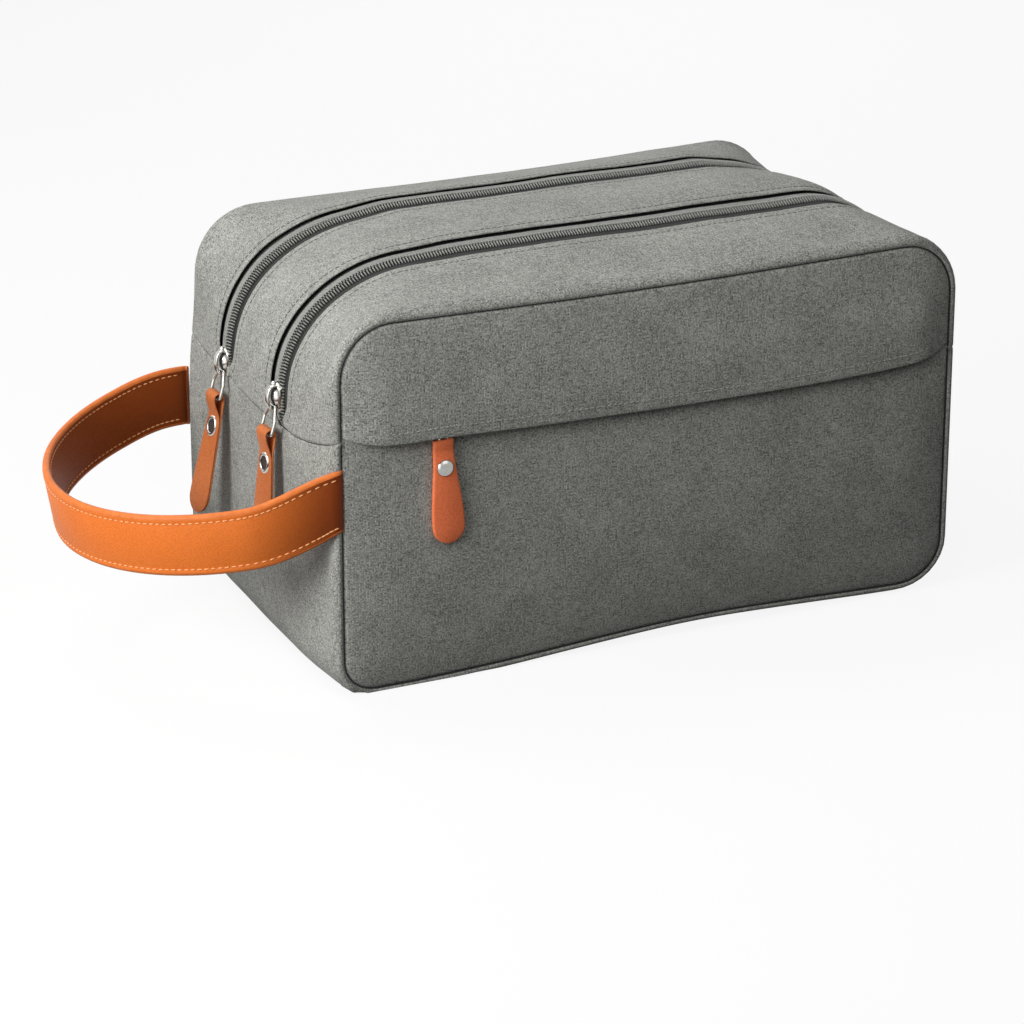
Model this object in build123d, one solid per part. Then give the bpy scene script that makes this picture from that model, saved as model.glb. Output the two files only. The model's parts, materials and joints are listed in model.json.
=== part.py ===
"""Shaving kit bag: padded fabric bag with two zipped compartments, a zipped front pocket
and a leather side handle.

Frame: millimetres, +Z up, origin at the middle of the flat base. X runs along the bag, with
the handle and the closed zip sliders on the -X end, and the front pocket faces -Y.
"""

from math import cos, pi, sin
import os

from build123d import *

os.makedirs("parts", exist_ok=True)

# --- Driving dimensions -------------------------------------------------------------------
HALF_LENGTH = 130.0  # centre to either end, along the front and back seams
SEAM_Y = 80.0  # centre to the front and back seams
SEAM_HEIGHT = 147.0  # top of the front and back panels
TOP_HEIGHT = 155.0  # top between the outer zip edges
END_BULGE = 2.0  # how far each end swells past the seams
SEAM_RADIUS = 22.0  # top corners of the front and back panels
LEFT_RADIUS = 52.0  # rounded shoulder under the zips at the handle end
RIGHT_RADIUS = 40.0  # the same at the far end
BASE_RADIUS = 20.0  # bottom corners
FABRIC = 1.5  # outer fabric with its backing

END_SEAM_Z = 95.0  # seam across both ends, where the zips stop
ZIP_Y = 31.6  # each top zip lies this far off the middle
ZIP_GAP = 13.0  # bare tape and coil between the fabric edges
CROWN_Y = ZIP_Y + ZIP_GAP / 2  # the top is level out to here and falls to the seams

TAPE = 0.6  # woven zip tape
TAPE_REACH = 9.5  # zip centre to the sewn-in tape edge
COIL_WIDTH = 2.4  # zip centre to the outer edge of one coil
COIL_SLIT = 0.4  # half the slit between the two coils
COIL_PROUD = 0.1  # coil above the fabric's outer face

LINING = 1.0
FOAM = 2.5
POCKET_DEPTH = 5.0  # front pocket, from its panel to its back wall
DIVIDER = 1.8
CLEAR = 0.05  # air between sewn layers

POCKET_ZIP_Z = 105.0
POCKET_GAP = 9.0  # between the pocket panel and the upper panel
FLAP_EDGE_Z = 99.5  # folded lower edge of the flap over the pocket zip
FLAP_TOP_Z = 118.0
FLAP_STANDOFF = 4.4  # flap's inner face in front of the panel

SLIDER_LENGTH = 12.0
SLIDER_WIDTH = 8.6
PLATE = 1.0
PLATE_LIFT = 0.5  # slider's upper plate over the fabric's outer face
PLATE_DROP = 2.7  # slider's lower plate under it
WIRE = 1.5  # ring wire diameter
RING_PROUD = 2.6  # ring wire's centre line over the fabric
RING_DROP = 3.2  # ring's top bar under the slider's middle, at the low end of the bridge
RING_HEIGHT = 10.8  # between the ring's two bars
RING_WIDTH = 9.5  # between the ring's two legs
RING_LEAN = 16.13  # degrees that the ring leans outwards, held off by the leather

PULL_THICK = 2.6  # two leather layers
RUNNING = 0.08  # air between a hinge bar and the leather folded round it
RIVET_POST = 1.15
TOP_PULL = 47.0  # ring bar to the pull's tip
TOP_RIVET = 12.0  # ring bar to the rivet of a top pull
POCKET_PULL = 40.0
BAIL_WIRE = 1.2
BAIL_Z = 97.6  # hinge bar of the pocket pull, just under the flap's edge
BAIL_PROUD = 2.5
POCKET_PULL_X = -89.5

STRAP_WIDTH = 25.0
STRAP_LAYER = 1.5
STRAP_ARC = 74.5  # radius of the stitched joint between the two layers
STRAP_ARC_X = -138.5
STRAP_Z = 74.0
STRAP_DROOP = 9.6  # degrees that the loop hangs under level
STRAP_HINGE_X = -130.3
STRAP_ROOT = 14.0  # radius about the hinge that stays with the bag

ARC_Z = TOP_HEIGHT - LEFT_RADIUS  # height of the left shoulder's centre
SLIDER_Z = {"front": ARC_Z + 2.0, "rear": ARC_Z - 2.4}  # sliders' middles, near the closed ends
END_X = -HALF_LENGTH - END_BULGE


# --- The bag's outer form -----------------------------------------------------------------
def swell(y):
    """Share of the full crown at depth y: 0 on the seams, 1 over the zips."""
    return min(1.0, (SEAM_Y - abs(y)) / (SEAM_Y - CROWN_Y))


def outline(y, inset):
    """Rounded outline of the bag at depth y, drawn in by inset."""
    s = swell(y)
    left = -HALF_LENGTH - END_BULGE * s + inset
    right = HALF_LENGTH + END_BULGE * s - inset
    low = inset
    high = SEAM_HEIGHT + (TOP_HEIGHT - SEAM_HEIGHT) * s - inset
    base = BASE_RADIUS - inset
    top_left = SEAM_RADIUS + (LEFT_RADIUS - SEAM_RADIUS) * s - inset
    top_right = SEAM_RADIUS + (RIGHT_RADIUS - SEAM_RADIUS) * s - inset

    def corner(x, z, radius, start):
        """Quarter turn about (x, z) that begins at the angle start."""
        turn = [start + step * pi / 4 for step in range(3)]
        return ThreePointArc(*[(x + radius * cos(a), y, z + radius * sin(a)) for a in turn])

    corners = [
        corner(right - base, low + base, base, -pi / 2),
        corner(right - top_right, high - top_right, top_right, 0),
        corner(left + top_left, high - top_left, top_left, pi / 2),
        corner(left + base, low + base, base, pi),
    ]
    edges = []
    for before, after in zip(corners[-1:] + corners[:-1], corners):
        edges += [Line(before @ 1, after @ 0), after]
    return Wire(edges)


def block(y0, y1, inset):
    """The bag's form between two depths, as a full solid."""
    kinks = [k for k in (-CROWN_Y, CROWN_Y) if y0 < k < y1]
    return Part() + Solid.make_loft([outline(y, inset) for y in [y0, *kinks, y1]], True)


def shell(y0, y1, outer, inner):
    """A tube that follows the bag's form, open at both depths."""
    return block(y0, y1, outer) - block(y0 - 1, y1 + 1, inner)


def slab(x=(-400, 400), y=(-200, 200), z=(-50, 300)):
    """A box given by its limits on each axis."""
    size = [high - low for low, high in (x, y, z)]
    middle = [(low + high) / 2 for low, high in (x, y, z)]
    return Pos(*middle) * Box(*size)


def above(z):
    """Everything higher than z."""
    return slab(z=(z, 300))


# --- Outer fabric -------------------------------------------------------------------------
STRIPS = {
    "front": (-SEAM_Y, -CROWN_Y),
    "middle": (-ZIP_Y + ZIP_GAP / 2, ZIP_Y - ZIP_GAP / 2),
    "rear": (CROWN_Y, SEAM_Y),
}


def bottom_band():
    """One long piece: the left end, the base and the right end, up to the end seams."""
    band = shell(-SEAM_Y, SEAM_Y, 0, FABRIC) - above(END_SEAM_Z)
    for root in strap_roots().values():
        band -= root
    return band


def top_strip(y0, y1):
    """A strip over the top, from one end seam to the other."""
    return shell(y0, y1, 0, FABRIC) & above(END_SEAM_Z)


def panel(y0, y1):
    """A flat panel with the front or back seam's outline."""
    face = Face(outline(SEAM_Y, 0))
    return Pos(0, y0 - SEAM_Y, 0) * (Part() + Solid.extrude(face, Vector(0, y1 - y0, 0)))


def front_pocket_panel():
    top = POCKET_ZIP_Z - POCKET_GAP / 2
    return panel(-SEAM_Y - FABRIC, -SEAM_Y) - above(top)


def front_upper_panel():
    """The upper front with its folded flap, which hangs over the pocket zip."""
    face_y = -SEAM_Y - FABRIC
    flap_in = face_y - FLAP_STANDOFF
    flap_out = flap_in - FABRIC
    shoulder = FLAP_TOP_Z - 6.0
    low = POCKET_ZIP_Z + POCKET_GAP / 2
    section = [
        (-SEAM_Y, low),
        (face_y, low),
        (face_y, FLAP_TOP_Z - 3.0),
        (flap_in + 0.3, shoulder - 1.0),
        (flap_in, FLAP_EDGE_Z),
        (flap_out, FLAP_EDGE_Z),
        (flap_out + 0.3, shoulder),
        (face_y, FLAP_TOP_Z),
        (face_y, SEAM_HEIGHT),
        (-SEAM_Y, SEAM_HEIGHT),
    ]
    points = [(-HALF_LENGTH, y, z) for y, z in section]
    face = Face(Wire([Line(a, b) for a, b in zip(points, points[1:] + points[:1])]))
    whole = Part() + Solid.extrude(face, Vector(2 * HALF_LENGTH, 0, 0))
    return whole & panel(flap_out - 1, -SEAM_Y)


# --- Pieces inside ------------------------------------------------------------------------
POCKET_WALL_Y = -SEAM_Y + POCKET_DEPTH
FOAM_FRONT_Y = POCKET_WALL_Y + LINING
LINING_FRONT_Y = FOAM_FRONT_Y + FOAM
LINING_REAR_Y = SEAM_Y - FOAM - CLEAR
BAND_FOAM_TOP = 88.0
TRAY_TOP = 90.0
UNDER_FABRIC = FABRIC + CLEAR
UNDER_FOAM = UNDER_FABRIC + FOAM
UNDER_TAPE = FABRIC + TAPE + CLEAR


def compartment_lining(y0, y1):
    """Lining between two depths: a wall, a gusset round the ends and base, and a wall."""
    gusset = shell(y0 + LINING + CLEAR, y1 - LINING - CLEAR, UNDER_FOAM, UNDER_FOAM + LINING)
    walls = [block(y0, y0 + LINING, UNDER_FOAM), block(y1 - LINING, y1, UNDER_FOAM)]
    return walls[0], gusset - above(TRAY_TOP), walls[1]


def foam_band():
    """Padding of the ends and base, under the outer band."""
    ends = LINING_FRONT_Y, SEAM_Y - FOAM - CLEAR
    band = shell(*ends, UNDER_FABRIC, UNDER_FOAM - CLEAR) - above(BAND_FOAM_TOP)
    return band


def strip_lining(y0, y1):
    """Facing under a top strip, with its free edges beside the sliders' way."""
    return shell(y0, y1, UNDER_TAPE, UNDER_TAPE + LINING) & above(TRAY_TOP + 2)


def inner_pieces():
    edge = ZIP_GAP / 2 - 1.0
    front = compartment_lining(LINING_FRONT_Y + CLEAR, -DIVIDER / 2 - CLEAR)
    rear = compartment_lining(DIVIDER / 2 + CLEAR, LINING_REAR_Y - CLEAR)
    return {
        "pocket_back_wall": block(POCKET_WALL_Y, FOAM_FRONT_Y, UNDER_FABRIC),
        "front_foam_pad": block(FOAM_FRONT_Y + CLEAR, LINING_FRONT_Y, UNDER_TAPE + LINING + CLEAR),
        "back_foam_pad": block(SEAM_Y - FOAM, SEAM_Y - CLEAR, UNDER_TAPE + LINING + CLEAR),
        "band_foam_pad": foam_band(),
        "divider_board": block(-DIVIDER / 2, DIVIDER / 2, UNDER_FOAM),
        "front_lining_wall": front[0],
        "front_lining_gusset": front[1],
        "front_lining_divider": front[2],
        "rear_lining_divider": rear[0],
        "rear_lining_gusset": rear[1],
        "rear_lining_wall": rear[2],
        "front_strip_lining": strip_lining(LINING_FRONT_Y, -ZIP_Y - edge),
        "middle_strip_lining": strip_lining(-ZIP_Y + edge, ZIP_Y - edge),
        "rear_strip_lining": strip_lining(ZIP_Y + edge, LINING_REAR_Y),
        "front_seam_tape": shell(
            -SEAM_Y + TAPE + CLEAR, POCKET_WALL_Y - CLEAR, UNDER_FABRIC, UNDER_FABRIC + TAPE
        ),
        "back_seam_tape": shell(
            SEAM_Y - FOAM, SEAM_Y - CLEAR, UNDER_FABRIC, UNDER_FABRIC + TAPE
        ),
    }


# --- Zips ---------------------------------------------------------------------------------
def top_zip(y, side):
    """Tape and coil on one side (-1 or +1) of the top zip whose middle is at y."""

    def run(near, far, outer, inner, low):
        edges = sorted((y + side * near, y + side * far))
        return shell(*edges, outer, inner) & above(low)

    tape = run(COIL_SLIT + 0.6, TAPE_REACH, FABRIC, FABRIC + TAPE, END_SEAM_Z - 5.0)
    coil = run(COIL_SLIT, COIL_WIDTH, -COIL_PROUD, FABRIC, END_SEAM_Z + 1.0)
    return tape, coil


def pocket_zip(side):
    """Tape and coil on the lower (-1) or upper (+1) side of the pocket zip."""
    back = -SEAM_Y
    face_y = -SEAM_Y - FABRIC

    def run(near, far, y, half):
        heights = sorted((POCKET_ZIP_Z + side * near, POCKET_ZIP_Z + side * far))
        return slab(x=(-half, half), y=y, z=heights)

    tape = run(COIL_SLIT + 0.6, TAPE_REACH, (back, back + TAPE), HALF_LENGTH - 4.0)
    coil = run(COIL_SLIT, COIL_WIDTH, (face_y - COIL_PROUD, back), HALF_LENGTH - 6.0)
    return tape, coil


def slider():
    """Slider body about its own middle: +Z out of the bag, +Y to the closed end."""
    plate = RectangleRounded(SLIDER_WIDTH, SLIDER_LENGTH, 2.6)
    body = Pos(0, 0, PLATE_LIFT) * extrude(plate, PLATE)
    lower = RectangleRounded(SLIDER_WIDTH - 0.6, SLIDER_LENGTH - 2.8, 2.4)
    body += Pos(0, 0, -PLATE_DROP - PLATE) * extrude(lower, PLATE)
    # The thin post runs in the slit between the two coils and joins the plates.
    post = PLATE_LIFT + PLATE_DROP + PLATE
    body += Pos(0, 3.0, (PLATE_LIFT - PLATE_DROP) / 2) * Box(0.5, 3.0, post)
    # Side flanges keep the coils in line.
    for side in (-1, 1):
        flange = Box(0.8, SLIDER_LENGTH - 6.0, PLATE_LIFT + 1.0)
        body += Pos(side * 3.7, 0, PLATE_LIFT - (PLATE_LIFT + 1.0) / 2) * flange
    return body


def ring_slider():
    """Slider with an arched bridge, which holds the pull's wire ring."""
    floor = PLATE_LIFT + PLATE
    arch = Pos(0, 0, floor + 1.7) * Box(3.0, 10.6, 3.4)
    arch -= Pos(0, 0, floor + 1.15) * Box(4.0, 8.6, 2.3)
    ends = arch.edges().filter_by(Axis.X).group_by(Axis.Z)[-1]
    return slider() + fillet(ends, 1.6)


def bail():
    """Wire bail of the pocket slider about its hinge bar: two arms up to the upper plate."""
    arm_x = 4.6
    reach = POCKET_ZIP_Z - BAIL_Z - 2.0
    foot = PLATE_LIFT + PLATE - BAIL_PROUD
    body = Rot(0, 90, 0) * Cylinder(BAIL_WIRE / 2, 2 * arm_x)
    for side in (-1, 1):
        x = sorted((side * (arm_x - 0.5), side * (arm_x + 0.5)))
        body += slab(x=x, y=(-reach, BAIL_WIRE / 2), z=(foot, BAIL_WIRE / 2))
    return body


def wire_ring():
    """Wire ring about its top bar's middle: +Y down to the leather, flat in XY."""
    half = RING_WIDTH / 2
    points = [(-half, 0), (half, 0), (half, RING_HEIGHT), (-half, RING_HEIGHT)]
    rim = Polyline(*points, close=True)
    corners = sorted(rim.vertices(), key=lambda v: v.Y)
    path = Wire(rim.edges()).fillet_2d(3.4, corners[:2])
    low = [v for v in path.vertices() if v.Y > RING_HEIGHT - 0.01]
    path = path.fillet_2d(1.1, low)
    start = path @ 0
    section = Plane(origin=start, z_dir=path % 0) * Circle(WIRE / 2)
    return sweep(section, path=path)


def leather_pull(length, bar, rivet):
    """Folded leather pull about its hinge bar: +Y to the tip, flat in XY."""
    hole = bar / 2 + RUNNING
    roll = hole + PULL_THICK / 2
    tip = 6.6
    sides = [(3.4, 0), (4.2, 9.0), (tip, length - tip - 0.4)]
    points = sides + [(-x, y) for x, y in reversed(sides)]
    flat = make_face(Polyline(*points, close=True)) + Pos(0, length - tip) * Circle(tip)
    body = Pos(0, 0, -PULL_THICK / 2) * extrude(flat, PULL_THICK)
    body += Rot(0, 90, 0) * Cylinder(roll, 2 * sides[0][0])
    body -= Rot(0, 90, 0) * Cylinder(hole, 20)
    return body - Pos(0, rivet, 0) * Cylinder(RIVET_POST + CLEAR, 10)


def cap_rivet():
    """Domed rivet through both leather layers, its cap outward on +Z."""
    cap = 6.8
    rise = 1.3
    bulge = ((cap / 2) ** 2 + rise**2) / (2 * rise)
    face = PULL_THICK / 2
    dome = Pos(0, 0, face + rise - bulge) * Sphere(bulge)
    dome &= Pos(0, 0, face + 5.0) * Box(20, 20, 10)
    back = Pos(0, 0, -face - 0.3) * Cylinder(cap / 2 - 0.6, 0.6)
    return dome + Cylinder(RIVET_POST, PULL_THICK) + back


def on_end(y, z, out=0.0, lean=0.0):
    """Place on the left end at depth y: X across, Y down and leaning out, Z out of the bag."""
    tilt = lean * pi / 180
    origin = (END_X - out, y, z)
    return Plane(origin=origin, x_dir=(0, 1, 0), z_dir=(-cos(tilt), 0, sin(tilt)))


def on_front(x, z, out=0.0):
    """Place on the front: X to the handle end, Y down, Z out of the bag."""
    origin = (x, -SEAM_Y - FABRIC - out, z)
    return Plane(origin=origin, x_dir=(-1, 0, 0), z_dir=(0, -1, 0))


def top_pull_set(y, z):
    """Slider, ring, leather and rivet of the top zip at depth y, with its slider at height z."""
    tilt = RING_LEAN * pi / 180
    top = z - RING_DROP
    bar = top - RING_HEIGHT * cos(tilt)
    bar_proud = RING_PROUD + RING_HEIGHT * sin(tilt)
    return {
        "slider": on_end(y, z) * ring_slider(),
        "ring": on_end(y, top, RING_PROUD, RING_LEAN) * wire_ring(),
        "pull": on_end(y, bar, bar_proud) * leather_pull(TOP_PULL, WIRE, TOP_RIVET),
        "pull_rivet": on_end(y, bar - TOP_RIVET, bar_proud) * cap_rivet(),
    }


def pocket_pull_set():
    """Slider, leather and rivet of the pocket zip."""
    rivet = 10.0
    along = Plane(
        origin=(POCKET_PULL_X, -SEAM_Y - FABRIC, POCKET_ZIP_Z),
        x_dir=(0, 0, 1),
        z_dir=(0, -1, 0),
    )
    at_bar = on_front(POCKET_PULL_X, BAIL_Z, BAIL_PROUD)
    pull = leather_pull(POCKET_PULL, BAIL_WIRE, rivet)
    return {
        "slider": along * slider() + at_bar * bail(),
        "pull": at_bar * pull,
        "pull_rivet": on_front(POCKET_PULL_X, BAIL_Z - rivet, BAIL_PROUD) * cap_rivet(),
    }


# --- Handle -------------------------------------------------------------------------------
def strap(inner, outer):
    """Half-round leather band between two radii, with straight ends to the bag."""
    level = STRAP_WIDTH / 2
    ring = Cylinder(outer, STRAP_WIDTH) - Cylinder(inner, STRAP_WIDTH)
    band = Pos(STRAP_ARC_X, 0, STRAP_Z) * ring & slab(x=(-400, STRAP_ARC_X))
    for side in (-1, 1):
        run = sorted((side * inner, side * outer))
        band += slab(x=(STRAP_ARC_X, -115), y=run, z=(STRAP_Z - level, STRAP_Z + level))
    hinge = Pos(STRAP_HINGE_X, 0, STRAP_Z)
    return hinge * Rot(0, -STRAP_DROOP, 0) * hinge.inverse() * band


def about_hinge(radius):
    """Round bar along the handle's hinge line."""
    return Pos(STRAP_HINGE_X, 0, STRAP_Z) * Rot(90, 0, 0) * Cylinder(radius, 200)


def strap_roots():
    """The strap's two sewn-in ends, which stay with the bag."""
    whole = strap(STRAP_ARC - STRAP_LAYER, STRAP_ARC + STRAP_LAYER) & about_hinge(STRAP_ROOT)
    whole &= slab(x=(-400, -HALF_LENGTH + FABRIC - 0.5))
    return {"front": whole & slab(y=(-200, 0)), "rear": whole & slab(y=(0, 200))}


def strap_layer(inner, outer):
    """One leather layer of the loop that swings, cut clear of its roots."""
    return (strap(inner, outer) - about_hinge(STRAP_ROOT + 0.3)) & slab(x=(-400, STRAP_HINGE_X))


# --- Everything, by node name -------------------------------------------------------------
def all_nodes():
    nodes = {"bottom_band": bottom_band()}
    for name, (y0, y1) in STRIPS.items():
        nodes[f"top_strip_{name}"] = top_strip(y0, y1)
    nodes["front_upper_panel"] = front_upper_panel()
    nodes["front_pocket_panel"] = front_pocket_panel()
    nodes["back_panel"] = panel(SEAM_Y, SEAM_Y + FABRIC)
    nodes.update(inner_pieces())
    for name, y in {"front": -ZIP_Y, "rear": ZIP_Y}.items():
        for side, label in ((-1, "a"), (1, "b")):
            tape, coil = top_zip(y, side)
            nodes[f"{name}_zip_tape_{label}"] = tape
            nodes[f"{name}_zip_coil_{label}"] = coil
        for piece, shape in top_pull_set(y, SLIDER_Z[name]).items():
            nodes[f"{name}_zip_{piece}"] = shape
    for side, label in ((-1, "lower"), (1, "upper")):
        tape, coil = pocket_zip(side)
        nodes[f"pocket_zip_tape_{label}"] = tape
        nodes[f"pocket_zip_coil_{label}"] = coil
    for piece, shape in pocket_pull_set().items():
        nodes[f"pocket_zip_{piece}"] = shape
    for name, root in strap_roots().items():
        nodes[f"handle_end_{name}"] = root
    nodes["handle_outer"] = strap_layer(STRAP_ARC, STRAP_ARC + STRAP_LAYER)
    nodes["handle_lining"] = strap_layer(STRAP_ARC - STRAP_LAYER, STRAP_ARC)
    return nodes


for node, shape in all_nodes().items():
    export_step(shape, f"parts/{node}.step")
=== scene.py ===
# %% [markdown]
# # A shaving kit bag, finished in Blender
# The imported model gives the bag's construction at its real size. This notebook builds the looks
# around it: cut fabric with turned seams, zips, nickel fittings and a stitched leather handle.
# Everything is in metres, and each piece is placed by sizes that are read from the frame.

# %% Load the frame
import json
from contextlib import contextmanager
from math import copysign, cos, exp, hypot, pi, radians, sin, sqrt, tan, tanh

import bpy
import numpy as np
from mathutils import Matrix, Vector, noise
from mathutils.bvhtree import BVHTree


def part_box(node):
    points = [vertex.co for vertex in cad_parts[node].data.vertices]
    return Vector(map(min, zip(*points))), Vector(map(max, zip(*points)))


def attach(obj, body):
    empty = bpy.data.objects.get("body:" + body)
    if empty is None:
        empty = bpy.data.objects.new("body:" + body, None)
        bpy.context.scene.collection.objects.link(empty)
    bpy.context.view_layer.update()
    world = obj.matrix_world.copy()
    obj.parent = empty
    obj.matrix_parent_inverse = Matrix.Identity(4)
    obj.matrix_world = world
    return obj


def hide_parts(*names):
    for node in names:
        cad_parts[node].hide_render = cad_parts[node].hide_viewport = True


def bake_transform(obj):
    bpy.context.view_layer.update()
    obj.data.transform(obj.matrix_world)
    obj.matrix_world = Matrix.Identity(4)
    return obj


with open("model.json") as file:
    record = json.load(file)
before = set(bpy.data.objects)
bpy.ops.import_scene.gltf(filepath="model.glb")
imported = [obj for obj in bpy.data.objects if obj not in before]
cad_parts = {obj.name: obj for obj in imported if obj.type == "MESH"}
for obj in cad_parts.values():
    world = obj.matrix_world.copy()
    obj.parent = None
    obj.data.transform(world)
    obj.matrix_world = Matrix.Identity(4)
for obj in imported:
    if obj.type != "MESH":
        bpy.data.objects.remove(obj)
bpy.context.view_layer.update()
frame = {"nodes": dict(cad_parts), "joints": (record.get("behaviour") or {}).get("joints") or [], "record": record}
MM = 0.001
NODES = frame["nodes"]
JOINTS = {joint["name"]: joint for joint in frame["joints"]}

# %% [markdown]
# ## Sizes
# The panels, strips and joints of the frame give the bag's driving sizes. Only the corner radii
# and the small sewing sizes are written here, because a box around a piece can't tell them.

# %% Read the driving sizes
panel_low, panel_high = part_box("back_panel")
strip_low, strip_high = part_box("top_strip_middle")
HALF_LENGTH = panel_high.x
SEAM_Y = panel_low.y
SEAM_HEIGHT = panel_high.z
TOP_HEIGHT = strip_high.z
END_SEAM_Z = strip_low.z
END_BULGE = strip_high.x - HALF_LENGTH
ZIP_Y = -JOINTS["front_zip_run"]["pos_m"][1]
ZIP_EDGE = ZIP_Y - strip_high.y
BASE_RADIUS = 20 * MM
SEAM_RADIUS = 22 * MM
LEFT_RADIUS = 52 * MM
RIGHT_RADIUS = 40 * MM
CLOTH = 0.35 * MM
print("bag", round(2 * HALF_LENGTH, 3), "x", round(2 * SEAM_Y, 3), "x", round(TOP_HEIGHT, 3), "m")

# %% [markdown]
# ## Camera
# The camera stands to the front and left of the bag, a little above it, with a long lens.

# %% Place the camera
cam_data = bpy.data.cameras.new("camera")
cam_data.lens = 140.6
cam_data.sensor_width = 36.0
cam_data.clip_end = 20.0
camera = bpy.data.objects.new("camera", cam_data)
bpy.context.scene.collection.objects.link(camera)
camera.location = (-0.66087, -1.35905, 0.61316)
camera.rotation_euler = (radians(90 - 21.250), 0, radians(-25.188))
bpy.context.scene.camera = camera
bpy.context.scene.view_settings.view_transform = "Standard"

# %% [markdown]
# ## Small helpers
# A piece is selected alone before an operator works on it, since operators act on all that is
# selected. Pieces that follow a worked-out form start as a grid, whose corners are then laid on
# the form, row by row, and whose UV map is in metres so that the weave keeps its real scale.

# %% Helpers for making pieces


def only(piece):
    """Select one piece alone and make it the active one."""
    bpy.ops.object.select_all(action="DESELECT")
    piece.select_set(True)
    bpy.context.view_layer.objects.active = piece
    return piece


def name_new(name):
    """Name the object that an operator has just added."""
    piece = bpy.context.active_object
    piece.name = name
    piece.data.name = name
    return piece


@contextmanager
def editing(piece):
    """Edit mode on one piece, with all of it selected."""
    only(piece)
    bpy.ops.object.mode_set(mode="EDIT")
    bpy.ops.mesh.select_all(action="SELECT")
    yield
    bpy.ops.object.mode_set(mode="OBJECT")


def apply_all(piece):
    """Apply every modifier of a piece."""
    only(piece)
    for modifier in list(piece.modifiers):
        bpy.ops.object.modifier_apply(modifier=modifier.name)
    return piece


def thicken(piece, thickness):
    """Give a sheet its thickness, on its inner side."""
    modifier = piece.modifiers.new("thickness", "SOLIDIFY")
    modifier.thickness = thickness
    modifier.offset = -1
    return apply_all(piece)


def smooth(piece, degrees=40):
    only(piece)
    bpy.ops.object.shade_smooth_by_angle(angle=radians(degrees))
    return piece


def lay_grid(name, rows, uvs, outward=None):
    """A grid whose corners are laid at rows[j][i], with uvs[j][i] in metres."""
    points = np.array(rows, float)
    down, across = points.shape[:2]
    bpy.ops.object.select_all(action="DESELECT")
    bpy.ops.mesh.primitive_grid_add(x_subdivisions=across - 1, y_subdivisions=down - 1, size=1)
    piece = name_new(name)
    mesh = piece.data
    mesh.vertices.foreach_set("co", points.reshape(-1))
    corner = np.zeros(len(mesh.loops), int)
    mesh.loops.foreach_get("vertex_index", corner)
    flat = np.array(uvs, float).reshape(-1, 2)[corner]
    mesh.uv_layers[0].data.foreach_set("uv", flat.reshape(-1))
    mesh.update()
    if outward is not None:
        facing = sum(p.normal.dot(outward(p.center)) * p.area for p in mesh.polygons)
        if facing < 0:
            mesh.flip_normals()
    return piece


def finish_piece(piece, body, slot_name, material, *stands_for):
    """Give a piece its material and its body, and hide the nodes that it stands for."""
    piece.data.materials.clear()
    piece.data.materials.append(material)
    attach(piece, body)
    if stands_for:
        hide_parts(*stands_for)
    print("made", piece.name, len(piece.data.polygons), "faces")
    return piece


# %% [markdown]
# ## Materials
# Each finish is a small node network. The cloth reads the UV map in metres: two sets of yarns
# cross in a plain weave, each yarn a little lighter or darker than the next, as in heather linen.

# %% Node helpers


def new_material(name):
    material = bpy.data.materials.new(name)
    material.use_nodes = True
    tree = material.node_tree
    shader = tree.nodes["Principled BSDF"]
    return material, tree, shader


def socket_of(made, key):
    """An input by name, with _ for a space, or by number as i0, i1."""
    return made.inputs[int(key[1:])] if key[1:].isdigit() else made.inputs[key.replace("_", " ")]


def node(tree, kind, **inputs):
    """Add a node. A key that is an attribute is set on it; any other names an input."""
    made = tree.nodes.new(kind)
    for key, value in inputs.items():
        if hasattr(made, key):
            setattr(made, key, value)
    for key, value in inputs.items():
        if hasattr(made, key):
            continue
        if isinstance(value, bpy.types.NodeSocket):
            tree.links.new(value, socket_of(made, key))
        else:
            socket_of(made, key).default_value = value
    return made


def maths(tree, operation, first, second=0.0):
    return node(tree, "ShaderNodeMath", operation=operation, i0=first, i1=second).outputs[0]


def blend_colours(tree, factor, first, second):
    made = node(tree, "ShaderNodeMix", data_type="RGBA")
    for index, value in ((0, factor), (6, first), (7, second)):
        if isinstance(value, bpy.types.NodeSocket):
            tree.links.new(value, made.inputs[index])
        else:
            made.inputs[index].default_value = value
    return made.outputs[2]


def ramp(tree, factor, low, high, start=0.0, end=1.0):
    """Go from low to high as the factor goes from start to end."""
    made = node(tree, "ShaderNodeMapRange", Value=factor)
    made.inputs["From Min"].default_value = start
    made.inputs["From Max"].default_value = end
    made.inputs["To Min"].default_value = low
    made.inputs["To Max"].default_value = high
    return made.outputs[0]


def bump(tree, shader, height, distance, strength=1.0):
    made = node(tree, "ShaderNodeBump", Height=height, Strength=strength, Distance=distance)
    tree.links.new(made.outputs[0], shader.inputs["Normal"])


def seen_directly(tree):
    """1 for a ray from the camera or by way of a mirror or glass, and 0 for light on its way."""
    path = node(tree, "ShaderNodeLightPath")
    seen = maths(tree, "MAXIMUM", path.outputs["Is Camera Ray"], path.outputs["Is Glossy Ray"])
    return maths(tree, "MAXIMUM", seen, path.outputs["Is Transmission Ray"])


# %% Cloth


SLUB = 5.0


def yarn_shades(tree, across, along):
    """Lightness of one set of yarns: each differs from the next and changes along its length."""
    number = maths(tree, "MULTIPLY", maths(tree, "FLOOR", across), 1.7)
    length = maths(tree, "MULTIPLY", along, 1 / SLUB)
    place = node(tree, "ShaderNodeCombineXYZ", X=number, Y=length).outputs[0]
    return node(tree, "ShaderNodeTexNoise", Vector=place, Scale=1.0, Detail=2.0, Roughness=0.7).outputs[0]


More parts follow.
